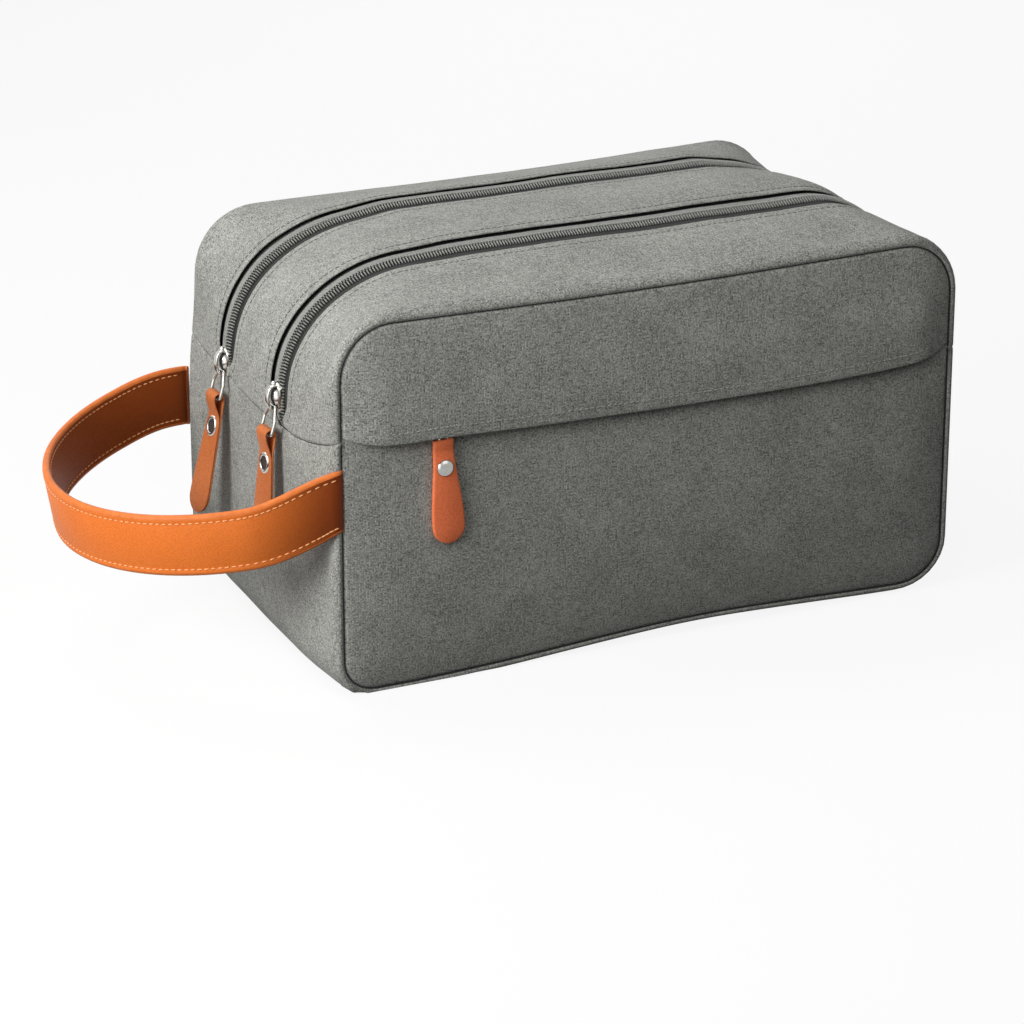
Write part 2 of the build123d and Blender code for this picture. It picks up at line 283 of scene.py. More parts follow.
def cloth(name, dark, light, yarn, spread=0.13, roughness=0.9, relief=0.12):
    """A plain weave of one yarn pitch, from a dark and a light colour; a wider spread evens it."""
    material, tree, shader = new_material(name)
    uv = node(tree, "ShaderNodeUVMap").outputs[0]
    parts = node(tree, "ShaderNodeSeparateXYZ", Vector=uv)
    warp = maths(tree, "MULTIPLY", parts.outputs[0], 1 / yarn)
    weft = maths(tree, "MULTIPLY", parts.outputs[1], 1 / yarn)
    over = maths(tree, "MULTIPLY", maths(tree, "SINE", maths(tree, "MULTIPLY", warp, pi)),
                 maths(tree, "SINE", maths(tree, "MULTIPLY", weft, pi)))
    on_top = ramp(tree, over, 0.0, 1.0, -0.35, 0.35)
    below = maths(tree, "SUBTRACT", 1.0, on_top)
    upright = maths(tree, "MULTIPLY", yarn_shades(tree, warp, weft), on_top)
    level = maths(tree, "MULTIPLY", yarn_shades(tree, weft, warp), below)
    fleck = node(tree, "ShaderNodeTexNoise", Vector=uv, Scale=1 / yarn, Detail=2.0, Roughness=0.6).outputs[0]
    cloud = node(tree, "ShaderNodeTexNoise", Vector=uv, Scale=45.0, Detail=4.0).outputs[0]
    tone = maths(tree, "MULTIPLY", maths(tree, "ADD", upright, level), 0.42)
    tone = maths(tree, "ADD", tone, maths(tree, "MULTIPLY", fleck, 0.48))
    tone = maths(tree, "ADD", tone, maths(tree, "MULTIPLY", cloud, 0.10))
    tone = ramp(tree, tone, 0.0, 1.0, 0.5 - spread, 0.5 + spread)
    tree.links.new(blend_colours(tree, tone, (*dark, 1), (*light, 1)), shader.inputs["Base Color"])
    height = maths(tree, "ADD", maths(tree, "MULTIPLY", maths(tree, "ABSOLUTE", over), 0.6),
                   maths(tree, "MULTIPLY", tone, 0.6))
    bump(tree, shader, height, relief * MM, 0.9)
    shader.inputs["Roughness"].default_value = roughness
    shader.inputs["Specular IOR Level"].default_value = 0.25
    shader.inputs["Sheen Weight"].default_value = 0.10
    shader.inputs["Sheen Roughness"].default_value = 0.5
    return material


LINEN = cloth("grey_linen", (0.105, 0.108, 0.098), (0.47, 0.475, 0.435), 0.66 * MM, 0.105)
LINING = cloth("dark_lining", (0.014, 0.0145, 0.014), (0.034, 0.035, 0.034), 0.4 * MM, relief=0.05)
ZIP_TAPE = cloth("grey_zip_tape", (0.13, 0.133, 0.122), (0.38, 0.385, 0.36), 0.5 * MM)
# Painted shade: a near-black copy of the zip tape, for tape that lies in shade.
SHADED_TAPE = cloth("zip_tape_in_painted_shade", (0.012, 0.012, 0.011), (0.035, 0.035, 0.033), 0.5 * MM)

# %% Thread, coil, foam and board


def grained(name, dark, light, scale, roughness, relief, detail=3.0, specular=0.5):
    """A finish with fine mottling and relief that read the piece's own place."""
    material, tree, shader = new_material(name)
    place = node(tree, "ShaderNodeTexCoord").outputs["Object"]
    grain = node(tree, "ShaderNodeTexNoise", Vector=place, Scale=scale, Detail=detail).outputs[0]
    tone = ramp(tree, grain, 0.0, 1.0, 0.3, 0.7)
    tree.links.new(blend_colours(tree, tone, (*dark, 1), (*light, 1)), shader.inputs["Base Color"])
    tree.links.new(ramp(tree, grain, roughness - 0.06, roughness + 0.06), shader.inputs["Roughness"])
    shader.inputs["Specular IOR Level"].default_value = specular
    bump(tree, shader, grain, relief * MM, 0.6)
    return material


PALE_THREAD = grained("pale_grey_thread", (0.24, 0.245, 0.23), (0.40, 0.405, 0.38), 2500, 0.7, 0.05)
GREY_THREAD = grained("grey_thread", (0.045, 0.045, 0.042), (0.11, 0.11, 0.10), 2500, 0.7, 0.05)
# Painted shade for the seams' grooves, laid there as dark cords.
SEAM_PAINTED_SHADE = grained("seam_groove_painted_shade", (0.01, 0.01, 0.01), (0.03, 0.03, 0.028), 900, 0.9, 0.02)
COIL = grained("grey_nylon_coil", (0.15, 0.153, 0.14), (0.27, 0.275, 0.25), 900, 0.38, 0.02)
FOAM = grained("white_foam", (0.55, 0.55, 0.52), (0.80, 0.80, 0.77), 700, 0.9, 0.2)
BOARD = grained("grey_board", (0.03, 0.03, 0.03), (0.06, 0.06, 0.06), 400, 0.6, 0.1)

# %% [markdown]
# Nickel is a metal with a slightly uneven polish. Leather has a pebbled grain of small cells, a little colour
# drift, and a soft gloss. The handle carries painted shade: it darkens towards its sewn-in ends, and its inside
# face is a dark copy of the leather. The cut edges are painted smooth in a lighter tone.

# %% Nickel and leather


def nickel(name, dark, light):
    material, tree, shader = new_material(name)
    place = node(tree, "ShaderNodeTexCoord").outputs["Object"]
    grain = node(tree, "ShaderNodeTexNoise", Vector=place, Scale=420.0, Detail=4.0).outputs[0]
    tone = blend_colours(tree, grain, (*dark, 1), (*light, 1))
    tree.links.new(tone, shader.inputs["Base Color"])
    tree.links.new(ramp(tree, grain, 0.12, 0.30), shader.inputs["Roughness"])
    shader.inputs["Metallic"].default_value = 1.0
    bump(tree, shader, grain, 0.02 * MM, 0.3)
    return material


def leather(name, dark, light, pebble, relief, roughness=0.45, coat=0.03, painted_shade=None):
    """Finished leather; pebble is the size of one grain cell in millimetres.

    painted_shade is (darkest x, plain x, share of the colour kept): painted shade that darkens the leather along
    x.
    """
    material, tree, shader = new_material(name)
    place = node(tree, "ShaderNodeTexCoord").outputs["Object"]
    drift = node(tree, "ShaderNodeTexNoise", Vector=place, Scale=35.0, Detail=4.0).outputs[0]
    warp = node(tree, "ShaderNodeTexNoise", Vector=place, Scale=500.0).outputs[1]
    bent = node(tree, "ShaderNodeVectorMath", operation="MULTIPLY_ADD", i0=warp, i1=(0.6 * MM,) * 3, i2=place)
    cells = node(tree, "ShaderNodeTexVoronoi", Vector=bent.outputs[0], Scale=1000 / pebble)
    crease = ramp(tree, cells.outputs[0], 1.0, 0.0, 0.15, 0.75)
    fine = node(tree, "ShaderNodeTexNoise", Vector=place, Scale=2600.0, Detail=2.0).outputs[0]
    drift, pattern = maths(tree, "MULTIPLY", drift, 0.6), maths(tree, "MULTIPLY", crease, 0.4)
    tone = ramp(tree, maths(tree, "ADD", drift, pattern), 0.0, 1.0, 0.25, 0.75)
    colour = blend_colours(tree, tone, (*dark, 1), (*light, 1))
    # Painted shade: the colour blends to a darker tone from plain x to darkest x.
    if painted_shade:
        darkest, plain, share = painted_shade
        parts = node(tree, "ShaderNodeSeparateXYZ", Vector=place)
        kept = ramp(tree, parts.outputs[0], 1.0, 0.0, plain, darkest)
        shaded_tone = tuple(value * share**power for value, power in zip(light, (1.0, 1.25, 1.5)))
        colour = blend_colours(tree, kept, (*shaded_tone, 1), colour)
    tree.links.new(colour, shader.inputs["Base Color"])
    tree.links.new(ramp(tree, crease, roughness + 0.12, roughness - 0.04), shader.inputs["Roughness"])
    height = maths(tree, "ADD", crease, maths(tree, "MULTIPLY", fine, 0.25))
    bump(tree, shader, height, relief * MM, 0.7)
    shader.inputs["Coat Weight"].default_value = coat
    shader.inputs["Coat Roughness"].default_value = 0.35
    shader.inputs["Specular IOR Level"].default_value = 0.16
    return material


NICKEL = nickel("bright_nickel", (0.46, 0.45, 0.42), (0.66, 0.65, 0.61))
# A darker copy of the nickel for the pocket's rivet: painted shade standing in for the dark reflections of its
# dome.
SHADED_RIVET_NICKEL = nickel("nickel_painted_shade_copy", (0.30, 0.295, 0.28), (0.48, 0.475, 0.455))
# Painted shade for the slider's tunnel under its bridge.
TUNNEL_PAINTED_SHADE = grained("slider_tunnel_painted_shade", (0.02, 0.02, 0.019), (0.05, 0.049, 0.047), 1200, 0.7, 0.04)
# Painted shade on the handle: both faces darken towards the sewn-in ends at ROOT_X.
ROOT_X = -131 * MM
OUTER_PAINTED_SHADE = (ROOT_X, ROOT_X - 37 * MM, 0.2)
INNER_PAINTED_SHADE = (ROOT_X, ROOT_X - 27 * MM, 0.7)
HANDLE_LEATHER = leather(
    "tan_handle_leather", (0.70, 0.165, 0.026), (0.85, 0.215, 0.038), 0.6, 0.045, painted_shade=OUTER_PAINTED_SHADE)
# The handle's inside face is a dark copy of its leather: painted shade.
INNER_SHADED_LEATHER = leather(
    "tan_handle_inside_painted_shade", (0.27, 0.052, 0.006), (0.35, 0.072, 0.009), 0.6, 0.045, painted_shade=INNER_PAINTED_SHADE)
# A brighter copy of the pull leather for the pocket's pull: painted light that makes up for the weak light on the
# front.
LIT_POCKET_LEATHER = leather("pull_leather_painted_light_copy", (0.76, 0.165, 0.062), (0.92, 0.235, 0.092), 0.6, 0.03, 0.5)
PULL_LEATHER = leather("tan_pull_leather", (0.43, 0.117, 0.035), (0.555, 0.173, 0.054), 0.6, 0.03, 0.5)
EDGE_PAINT = grained("painted_edge", (0.60, 0.15, 0.03), (0.76, 0.20, 0.045), 300, 0.5, 0.03, specular=0.2)
TAN_THREAD = grained("tan_thread", (0.80, 0.33, 0.11), (0.95, 0.48, 0.22), 2500, 0.6, 0.05)
# Painted shade, near black, for the inside of the eyelets' holes.
EYELET_PAINTED_SHADE = grained("eyelet_hole_painted_shade", (0.012, 0.008, 0.006), (0.03, 0.02, 0.015), 900, 0.85, 0.1)

# %% [markdown]
# Each node of the frame wears the finish of its slot. Finished pieces replace all of them later
# on, and the copies that settle into the bag take their finish from the same table.

# %% Finish the frame's own nodes
SLOT_FINISH = {
    "outer_fabric": LINEN,
    "lining_fabric": LINING,
    "foam": FOAM,
    "board": BOARD,
    "zip_tape": ZIP_TAPE,
    "zip_coil": COIL,
    "nickel": NICKEL,
    "pull_leather": PULL_LEATHER,
    "handle_leather": HANDLE_LEATHER,
}
for row in frame["record"]["subparts"]:
    mesh = NODES[row["node"]].data
    mesh.materials.clear()
    mesh.materials.append(SLOT_FINISH[row["material_slot"]])
print("finished", len(NODES), "nodes in", len(SLOT_FINISH), "slots")

# %% [markdown]
# ## The bag's form
# Seen from the front, the bag is a rounded box. Its crown is full over the zips and falls away
# to the seams, and the base arches a little between the corners it stands on. One function
# gives this form, and every fabric piece is laid on it, so neighbours always meet.

# %% The form
BASE_TUCK = 0.3 * MM
BASE_ARCH = 3.0 * MM
FRONT_LIFT = 3.0 * MM
TOP_DIP = 1.5 * MM
REAR_DROP = 2.0 * MM
RIGHT_SAG = 4.6 * MM
LEFT_SKEW = 0.0316
REAR_LEFT_IN = 2.2 * MM
FRONT_RIGHT_OUT = 1.7 * MM
LEFT_NARROWING = 1.6 * MM


def swell(y):
    """Share of the full crown at depth y: 1 over the zips and 0 on the seams."""
    beyond = (abs(y) - ZIP_Y) / (SEAM_Y - ZIP_Y)
    return 1 - min(1.0, max(0.0, beyond)) ** 1.7


def hump(share):
    """A smooth hump that is 1 at share 0 and 0 from share 1 on."""
    return max(0.0, 1 - share * share) ** 1.5


def step(value):
    """A smooth step from 0 to 1."""
    value = min(1.0, max(0.0, value))
    return value * value * (3 - 2 * value)


def rise(value, start, length):
    """A smooth step that starts at a place and takes a length, both in millimetres."""
    return step((value - start * MM) / (length * MM))


def bulge(value, middle, half):
    """A smooth hump about a place, of a half width, both in millimetres."""
    return hump((value - middle * MM) / (half * MM))


def bell(value, middle, width):
    """A bell curve that is 1 at its middle; its middle and width are in millimetres."""
    return exp(-(((value - middle * MM) / (width * MM)) ** 2))


def fade(value, length):
    """Falls from 1 at value 0 to a bit over a third at a length in millimetres, and on to 0."""
    return exp(-value / (length * MM))


def from_front(y, length):
    """A smooth step that starts on the front seam."""
    return step((y + SEAM_Y) / (length * MM))


def settled_base(x, y, z):
    """How far the base has risen: it arches up between the corners that it stands on."""
    near_base = max(0.0, 1 - z / (60 * MM)) ** 2
    arch = BASE_ARCH * bulge(x, 5, 106)
    lift = FRONT_LIFT * (1 - from_front(y, 110)) * rise(x, -70, 110)
    return (arch + lift) * near_base * (1 - 0.5 * swell(y))


def settled_top(x, y, z):
    """How far the top has sunk: between the seam's corners, by both shoulders and at the rear."""
    high = max(0.0, (z - 74 * MM) / (72 * MM)) ** 2
    dip = TOP_DIP * hump(x / (HALF_LENGTH - 8 * MM)) * high * (1 - swell(y))
    over_rear = step((y - ZIP_Y) / (SEAM_Y - ZIP_Y))
    drop = REAR_DROP * over_rear * rise(z, 90, 50) * (1 - 0.6 * rise(x, 60, 60))
    sag = min(3.4 * MM, 3.0 * MM + 0.03 * y) * (1 - over_rear) * from_front(y, 40)
    left_sag = sag * bulge(x, -96, 36) * rise(z, 100, 40)
    right_sag = RIGHT_SAG * bulge(x, 112, 36) * bulge(y, 35, 50) * min(1.0, high)
    return dip + drop + left_sag + right_sag


def settled(x, y, z):
    """Where a point of the plain bag lies once the bag is stuffed and standing."""
    to_left = -x
    at_left = rise(to_left, 60, 70) * from_front(y, 40)
    dx = LEFT_SKEW * y * at_left * (1 + 0.7 * rise(z, 86, 45))
    dx += REAR_LEFT_IN * rise(to_left, 60, 50) * rise(y, 25, 55) * rise(z, 68, 45)
    dx += FRONT_RIGHT_OUT * rise(x, 40, 80) * (1 - from_front(y, 60))
    dy = -LEFT_NARROWING * tanh(y / (20 * MM)) * at_left
    dz = settled_base(x, y, z) - settled_top(x, y, z)
    return x + dx, y + dy, max(z + dz, 0.0)


def legs(over_top, s):
    """Stretches of the outline from the left end seam, as (kind, length, data)."""
    left = -HALF_LENGTH - END_BULGE * s
    right = HALF_LENGTH + END_BULGE * s
    if over_top:
        top = SEAM_HEIGHT + (TOP_HEIGHT - SEAM_HEIGHT) * s
        r1 = SEAM_RADIUS + (LEFT_RADIUS - SEAM_RADIUS) * s
        r2 = SEAM_RADIUS + (RIGHT_RADIUS - SEAM_RADIUS) * s
        return [
            ("run", top - r1 - END_SEAM_Z, (left, END_SEAM_Z, 0, 1)),
            ("turn", r1 * pi / 2, (left + r1, top - r1, r1, pi, -1)),
            ("run", right - r2 - left - r1, (left + r1, top, 1, 0)),
            ("turn", r2 * pi / 2, (right - r2, top - r2, r2, pi / 2, -1)),
            ("run", top - r2 - END_SEAM_Z, (right, top - r2, 0, -1)),
        ]
    low = BASE_TUCK * (1 - s)
    r = BASE_RADIUS - low
    r_left = r - (6 + 2 * s) * MM
    return [
        ("run", END_SEAM_Z - low - r_left, (left, END_SEAM_Z, 0, -1)),
        ("turn", r_left * pi / 2, (left + r_left, low + r_left, r_left, pi, 1)),
        ("run", right - left - r - r_left, (left + r_left, low, 1, 0)),
        ("turn", r * pi / 2, (right - r, low + r, r, -pi / 2, 1)),
        ("run", END_SEAM_Z - BASE_RADIUS, (right, BASE_RADIUS, 0, 1)),
    ]


def on_outline(over_top, s, along):
    """Point (x, z) and outward normal at a distance along the outline."""
    stretches = legs(over_top, s)
    side = 1 if over_top else -1
    for index, (kind, length, data) in enumerate(stretches):
        if along <= length or index == len(stretches) - 1:
            if kind == "run":
                x, z, dx, dz = data
                return x + dx * along, z + dz * along, -dz * side, dx * side
            cx, cz, r, start, way = data
            angle = start + way * along / r
            return cx + r * cos(angle), cz + r * sin(angle), cos(angle), sin(angle)
        along -= length


def outline_length(over_top, s):
    return sum(length for _, length, _ in legs(over_top, s))


def end_seam_rise(y):
    """The end seams sag a little in the middle and climb to the front seam."""
    to_front = max(0.0, (-y - 44 * MM) / (36 * MM)) ** 2
    to_rear = max(0.0, (y - 50 * MM) / (30 * MM)) ** 2
    return 7.0 * MM * to_front + 2.5 * MM * to_rear - 1.6 * MM * bell(y, -22, 26)


def ripple(x, y, z, size):
    """Slow unevenness of stuffed cloth, with a little finer rumpling."""
    slow = noise.noise(Vector((x, y, z)) * 26)
    fine = noise.noise(Vector((x + 1, y, z)) * 75)
    return size * (slow + 0.35 * fine)


def on_bag(over_top, y, along, height):
    """Point of the bag at depth y, that far along its outline and that high over it."""
    s = swell(y)
    total = outline_length(over_top, s)
    x, z, nx, nz = on_outline(over_top, s, along)
    near_end = min(along, total - along) / (30 * MM)
    z += end_seam_rise(y) * max(0.0, 1 - max(0.0, near_end)) ** 2
    height += ripple(x, y, z, 0.5 * MM) * min(1.0, max(0.0, SEAM_Y - abs(y)) / (8 * MM))
    return settled(x + nx * height, y, z + nz * height)


print("outline over the top", round(outline_length(True, 1.0), 3), "m at its fullest")

# %% [markdown]
# A plain seam leaves both cloths turned inwards. In section each one rolls over on a small
# radius and dives into a narrow groove, which reads as a dark line with soft shoulders. A hem
# folds under at each zip. The one on the front side of a zip lies lower and stands further off.

# %% Seam and hem sections
SEAM_PUFF = 2.6 * MM
ROLL_MIDDLE = (4.1 * MM, 0.3 * MM)
ROLL_WIDE = 4.6 * MM
ROLL_HIGH = SEAM_PUFF - ROLL_MIDDLE[1]


def gusset_roll():
    """(distance from the seam, height) round the gusset's soft edge, from its allowance up."""
    section = [(2.4 * MM, -2.4 * MM)]
    for degrees in (245, 225, 205, 185, 165, 145, 125, 108, 95):
        across, up = cos(radians(degrees)), sin(radians(degrees))
        section.append((ROLL_MIDDLE[0] + ROLL_WIDE * across, ROLL_MIDDLE[1] + ROLL_HIGH * up))
    return section


PANEL_ROLL = [(2.2, -2.6), (1.65, -1.9), (1.4, -1.2), (1.35, -0.5), (1.6, 0.05)]


def shoulder(inset, puff):
    """Height of a panel's cloth, which starts low in the seam and fills out slowly."""
    start = 0.35 * MM
    return start + (puff - start) * (1 - fade(max(0.0, inset - 1.5 * MM), 6.5))


def end_dip(along, total):
    """How deep a cloth lies near its end seams; the left one is pulled tighter."""
    return -1.1 * MM * fade(along, 0.4) - 0.4 * MM * fade(total - along, 0.4)


FAR, CLOSE = 1, -1
HEM_EDGES = {FAR: ZIP_EDGE + 1.7 * MM, CLOSE: ZIP_EDGE + 2.9 * MM}
HEM_STEP_DOWN = {FAR: 0.0, CLOSE: 0.7 * MM}
HEM_FOLD = 0.32 * MM
STITCH_IN = 4.5 * MM
DRAWN_EDGE = 0.9 * MM


def hem_height(distance, base, side):
    """Height of the cloth near its folded zip edge, with the dent of the stitching."""
    base = base - HEM_STEP_DOWN[side] * bell(distance, 0, 5)
    crest = 0.3 * MM * bell(distance, 1.2, 1.4)
    dent = 0.25 * MM * bell(distance - STITCH_IN, 0, 0.7)
    return base + crest - dent


def hem_fold():
    """(distance from the fold, drop under the hem's top) round the fold to the hidden turn-in."""
    section = []
    for degrees in (90, 120, 150, 180, 210, 240, 270):
        a = radians(degrees)
        section.append((HEM_FOLD + HEM_FOLD * cos(a), HEM_FOLD * sin(a) - HEM_FOLD))
    return section + [(3.0 * MM, -2 * HEM_FOLD), (7.0 * MM, -2 * HEM_FOLD - 0.3 * MM)]


# %% [markdown]
# ## The gusset: bottom band and top strips
# One long band makes the left end, the base and the right end. Three strips run over the top
# between the zips. Each is a grid laid on the form; its long edges take a seam or a hem section.

# %% Sections of the gusset
NEAR = [0.0, 0.3 * MM, 0.7 * MM, 1.3 * MM, 2.2 * MM, 3.6 * MM, 5.5 * MM]
STEP = 3.2 * MM
FREE = round((outline_length(True, 1.0) - 2 * NEAR[-1]) / STEP) - 1


def plain_cloth(y):
    """Cloth over the plain form: full by the seams, less where the crown is full."""
    return SEAM_PUFF - 1.85 * MM * swell(y)


def seam_edge(side):
    """Section of a gusset piece beside the front (-1) or back (+1) seam, as (y, height)."""
    spots = [t * MM for t in (4.6, 5.6, 7.0, 8.8, 11.0)]
    rows = gusset_roll() + [(t, plain_cloth(SEAM_Y - t)) for t in spots]
    return [(side * (SEAM_Y - t), h) for t, h in rows]


def middle_cloth(y):
    """Cloth of the middle strip, which crowns a little between the zips."""
    inner = ZIP_Y - HEM_EDGES[FAR]
    return 0.9 * MM + 1.2 * MM * max(0.0, cos(y / inner * pi / 2))


def cloth_at(y):
    return middle_cloth(y) if abs(y) < ZIP_Y else plain_cloth(y)


def hem_edge(side_of_zip, zip_y, base):
    """Section beside a zip, from the turn-in out to the plain cloth, as (y, height)."""
    edge = zip_y + side_of_zip * HEM_EDGES[side_of_zip]
    top = hem_height(0.0, base(edge), side_of_zip)
    rows = [(t, top + drop) for t, drop in reversed(hem_fold())]
    for t in (1.5, 2.4, 3.3, 3.9, 4.3, 4.6, 4.9, 5.3, 6.0, 7.2, 9.0, 11.0):
        y = edge + side_of_zip * t * MM
        rows.append((t * MM, hem_height(t * MM, base(y), side_of_zip)))
    return [(edge + side_of_zip * t, h) for t, h in rows]


def across_strip(first, last):
    """A whole section: one edge, a plain stretch without heights, and the other edge."""
    start, end = first[-1][0], last[-1][0]
    count = max(2, round(abs(end - start) / (3.4 * MM)))
    plain = [(start + (end - start) * k / count, None) for k in range(1, count)]
    return first + plain + last[::-1]


def places_along(total):
    """The same number of distances at every depth, close together near both end seams."""
    inner = total - 2 * NEAR[-1]
    middle = [NEAR[-1] + inner * (k + 1) / (FREE + 1) for k in range(FREE)]
    return NEAR + middle + [total - distance for distance in reversed(NEAR)]


def drawn_in(y, end_distance):
    """Depth of a strip's cloth, whose hem draws in to the zip close to an end seam."""
    from_zip = y - copysign(ZIP_Y, y)
    edge = HEM_EDGES[FAR if from_zip > 0 else CLOSE]
    near_edge = 1 - rise(abs(from_zip) - edge, 0, 14)
    draw = (edge - DRAWN_EDGE) * near_edge * bell(end_distance, 0, 6)
    return y - copysign(draw, from_zip)


def gusset_rows(over_top, section, base, hemmed=False):
    """Rows of points along the outline, one for each (y, height) of the section."""
    rows, uvs = [], []
    heights = [base(y) if height is None else height for y, height in section]
    girth = 0.0
    for index, (y, height) in enumerate(zip([y for y, _ in section], heights)):
        girth += hypot(y - section[index - 1][0], height - heights[index - 1]) if index else 0.0
        total = outline_length(over_top, swell(y))
        places = places_along(total)
        row = []
        for a in places:
            from_end = min(a, total - a)
            depth = drawn_in(y, from_end) if hemmed else y
            row.append(on_bag(over_top, depth, a, height + end_dip(a, total)))
        rows.append(row)
        uvs.append([(a, girth) for a in places])
    return rows, uvs


def away_from_middle(point):
    return Vector((point.x, 0, point.z - 70 * MM))


def finish_cloth(piece, node_name):
    """Thicken one layer of the outer cloth and let it stand for its node."""
    smooth(thicken(piece, CLOTH), 60)
    return finish_piece(piece, "bag", "outer_fabric", LINEN, node_name)


# %% Lay the gusset pieces


def make_gusset(name, over_top, section, base):
    rows, uvs = gusset_rows(over_top, section, base, hemmed=over_top)
    return finish_cloth(lay_grid(name + "_cloth", rows, uvs, away_from_middle), name)


front_seam, back_seam = seam_edge(-1), seam_edge(1)
front_hem, rear_hem = hem_edge(-1, -ZIP_Y, plain_cloth), hem_edge(1, ZIP_Y, plain_cloth)
inner_front, inner_rear = hem_edge(1, -ZIP_Y, middle_cloth), hem_edge(-1, ZIP_Y, middle_cloth)
make_gusset("top_strip_front", True, across_strip(front_seam, front_hem), plain_cloth)
make_gusset("top_strip_rear", True, across_strip(rear_hem, back_seam), plain_cloth)
make_gusset("top_strip_middle", True, across_strip(inner_front, inner_rear), middle_cloth)
make_gusset("bottom_band", False, across_strip(front_seam, back_seam), plain_cloth)

# %% [markdown]
# ## Front and back panels
# A panel is a rounded rectangle. Its grid is laid as rings that step in from the seam, so the
# seam's roll keeps the same section all the way round, and the middle is pillowed.

# %% Rings of a panel
COLUMNS = 96
ROWS = 56


def ring_point(side, share, inset):
    """Point (x, z) on the outline drawn in by inset; side 0 is the base, then right, top, left."""
    low = BASE_TUCK
    left, right = -HALF_LENGTH + inset, HALF_LENGTH - inset
    bottom, top = low + inset, SEAM_HEIGHT - inset
    radii = [BASE_RADIUS - low - 6 * MM, BASE_RADIUS - low, SEAM_RADIUS, SEAM_RADIUS]
    radii = [max(r - inset, 0.0) for r in radii]
    corners = [(left, bottom), (right, bottom), (right, top), (left, top)]
    (x0, z0), (x1, z1) = corners[side], corners[(side + 1) % 4]
    r0, r1 = radii[side], radii[(side + 1) % 4]
    dx, dz = (x1 - x0), (z1 - z0)
    length = hypot(dx, dz)
    dx, dz = dx / length, dz / length
    inx, inz = -dz, dx
    arc0, arc1, straight = r0 * pi / 4, r1 * pi / 4, length - r0 - r1
    along = share * (arc0 + straight + arc1)

    def on_corner(x, z, radius, way, angle):
        ahead, inwards = way * (radius - radius * sin(angle)), radius - radius * cos(angle)
        return x + dx * ahead + inx * inwards, z + dz * ahead + inz * inwards

    if along < arc0:
        return on_corner(x0, z0, r0, 1, pi / 4 - along / r0)
    if along <= arc0 + straight or r1 == 0:
        along = min(along - arc0, straight)
        return x0 + dx * (r0 + along), z0 + dz * (r0 + along)
    return on_corner(x1, z1, r1, -1, (along - arc0 - straight) / r1)


SEAM_RINGS = [(inset * MM, height * MM) for inset, height in PANEL_ROLL]
SHOULDER_RINGS = [t * MM for t in (2.2, 3.0, 4.3, 6.4, 9.5)]


def ring_inset(index):
    """Inset of a ring, and its height if the seam's section sets it."""
    if index < len(SEAM_RINGS):
        return SEAM_RINGS[index]
    index -= len(SEAM_RINGS)
    if index < len(SHOULDER_RINGS):
        return SHOULDER_RINGS[index], None
    index -= len(SHOULDER_RINGS) - 1
    left = ROWS // 2 - len(SEAM_RINGS) - len(SHOULDER_RINGS) + 1
    start = SHOULDER_RINGS[-1]
    deepest = (SEAM_HEIGHT - BASE_TUCK) / 2 - 0.05 * MM
    share = index / left
    return start + (deepest - start) * (0.75 * share + 0.25 * share * share), None


def panel_grid(surface):
    """Rows of points over a whole panel; surface(x, z, inset) gives the height over the seam."""
    rows, uvs = [], []
    for j in range(ROWS + 1):
        row, uv = [], []
        for i in range(COLUMNS + 1):
            ring = min(i, COLUMNS - i, j, ROWS - j)
            inset, height = ring_inset(ring)
            wide, tall = COLUMNS - 2 * ring, ROWS - 2 * ring
            if j == ring:
                x, z = ring_point(0, (i - ring) / wide, inset)
            elif j == ROWS - ring:
                x, z = ring_point(2, (COLUMNS - ring - i) / wide, inset)
            elif i == COLUMNS - ring:
                x, z = ring_point(1, (j - ring) / tall, inset)
            else:
                x, z = ring_point(3, (ROWS - ring - j) / tall, inset)
            height = surface(x, z, inset) if height is None else height
            row.append((x, height, z))
            uv.append((x, z))
        rows.append(row)
        uvs.append(uv)
    return rows, uvs


def lay_panel(node_name, surface, side):
    """Lay a panel on the settled front (-1) or back (+1) of the bag."""
    rows, uvs = panel_grid(surface)
    points = [[settled(x, side * (SEAM_Y + h), z) for x, h, z in row] for row in rows]
    return lay_grid(node_name + "_cloth", points, uvs, lambda point: Vector((0, side, 0)))


# %% Back panel


def unevenness(x, y, z, inset):
    """Ripple of a panel, which fades out at its seam."""
    return ripple(x, y, z, 0.35 * MM) * min(1.0, inset / (9 * MM))


def back_surface(x, z, inset):
    pillow = 2.4 * MM * hump(x / (HALF_LENGTH + 8 * MM)) * bulge(z, 74, 84)
    return shoulder(inset, 2.4 * MM) + pillow * rise(inset, 0, 25) + unevenness(x, 2, z, inset)


finish_cloth(lay_panel("back_panel", back_surface, 1), "back_panel")

# %% [markdown]
# The front is in two pieces. The pocket panel covers the lower part and stops behind the flap,
# where the pocket's zip is. It stays flat under the leather pull and fills out lower down.

# %% Front pocket panel
POCKET_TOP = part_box("front_pocket_panel")[1].z
CUT_REACH = 14 * MM


def pocket_surface(x, z, inset):
    pillow = 1.7 * MM * bell(z, 50, 34) * (1 - (x / (HALF_LENGTH + 6 * MM)) ** 4)
    flat = shoulder(inset, 2.2 * MM) - 0.6 * MM * rise(z, 88, 10)
    return flat + pillow * rise(inset, 0, 22) + 0.8 * unevenness(x, 3, z, inset)


def top_rise(x):
    """The pocket panel's upper edge climbs to meet the flap where both go into the side seams."""
    from_left, from_right = x + HALF_LENGTH, HALF_LENGTH - x
    return 7.5 * MM * fade(from_left, 6) + 6.5 * MM * fade(from_right, 9)


def cut_flat(piece, z, keep_under):
    """Bisect a piece at a height and clear one side."""
    clear = {"clear_outer": keep_under, "clear_inner": not keep_under}
    with editing(piece):
        bpy.ops.mesh.bisect(plane_co=(0, 0, z), plane_no=(0, 0, 1), threshold=1e-7, **clear)


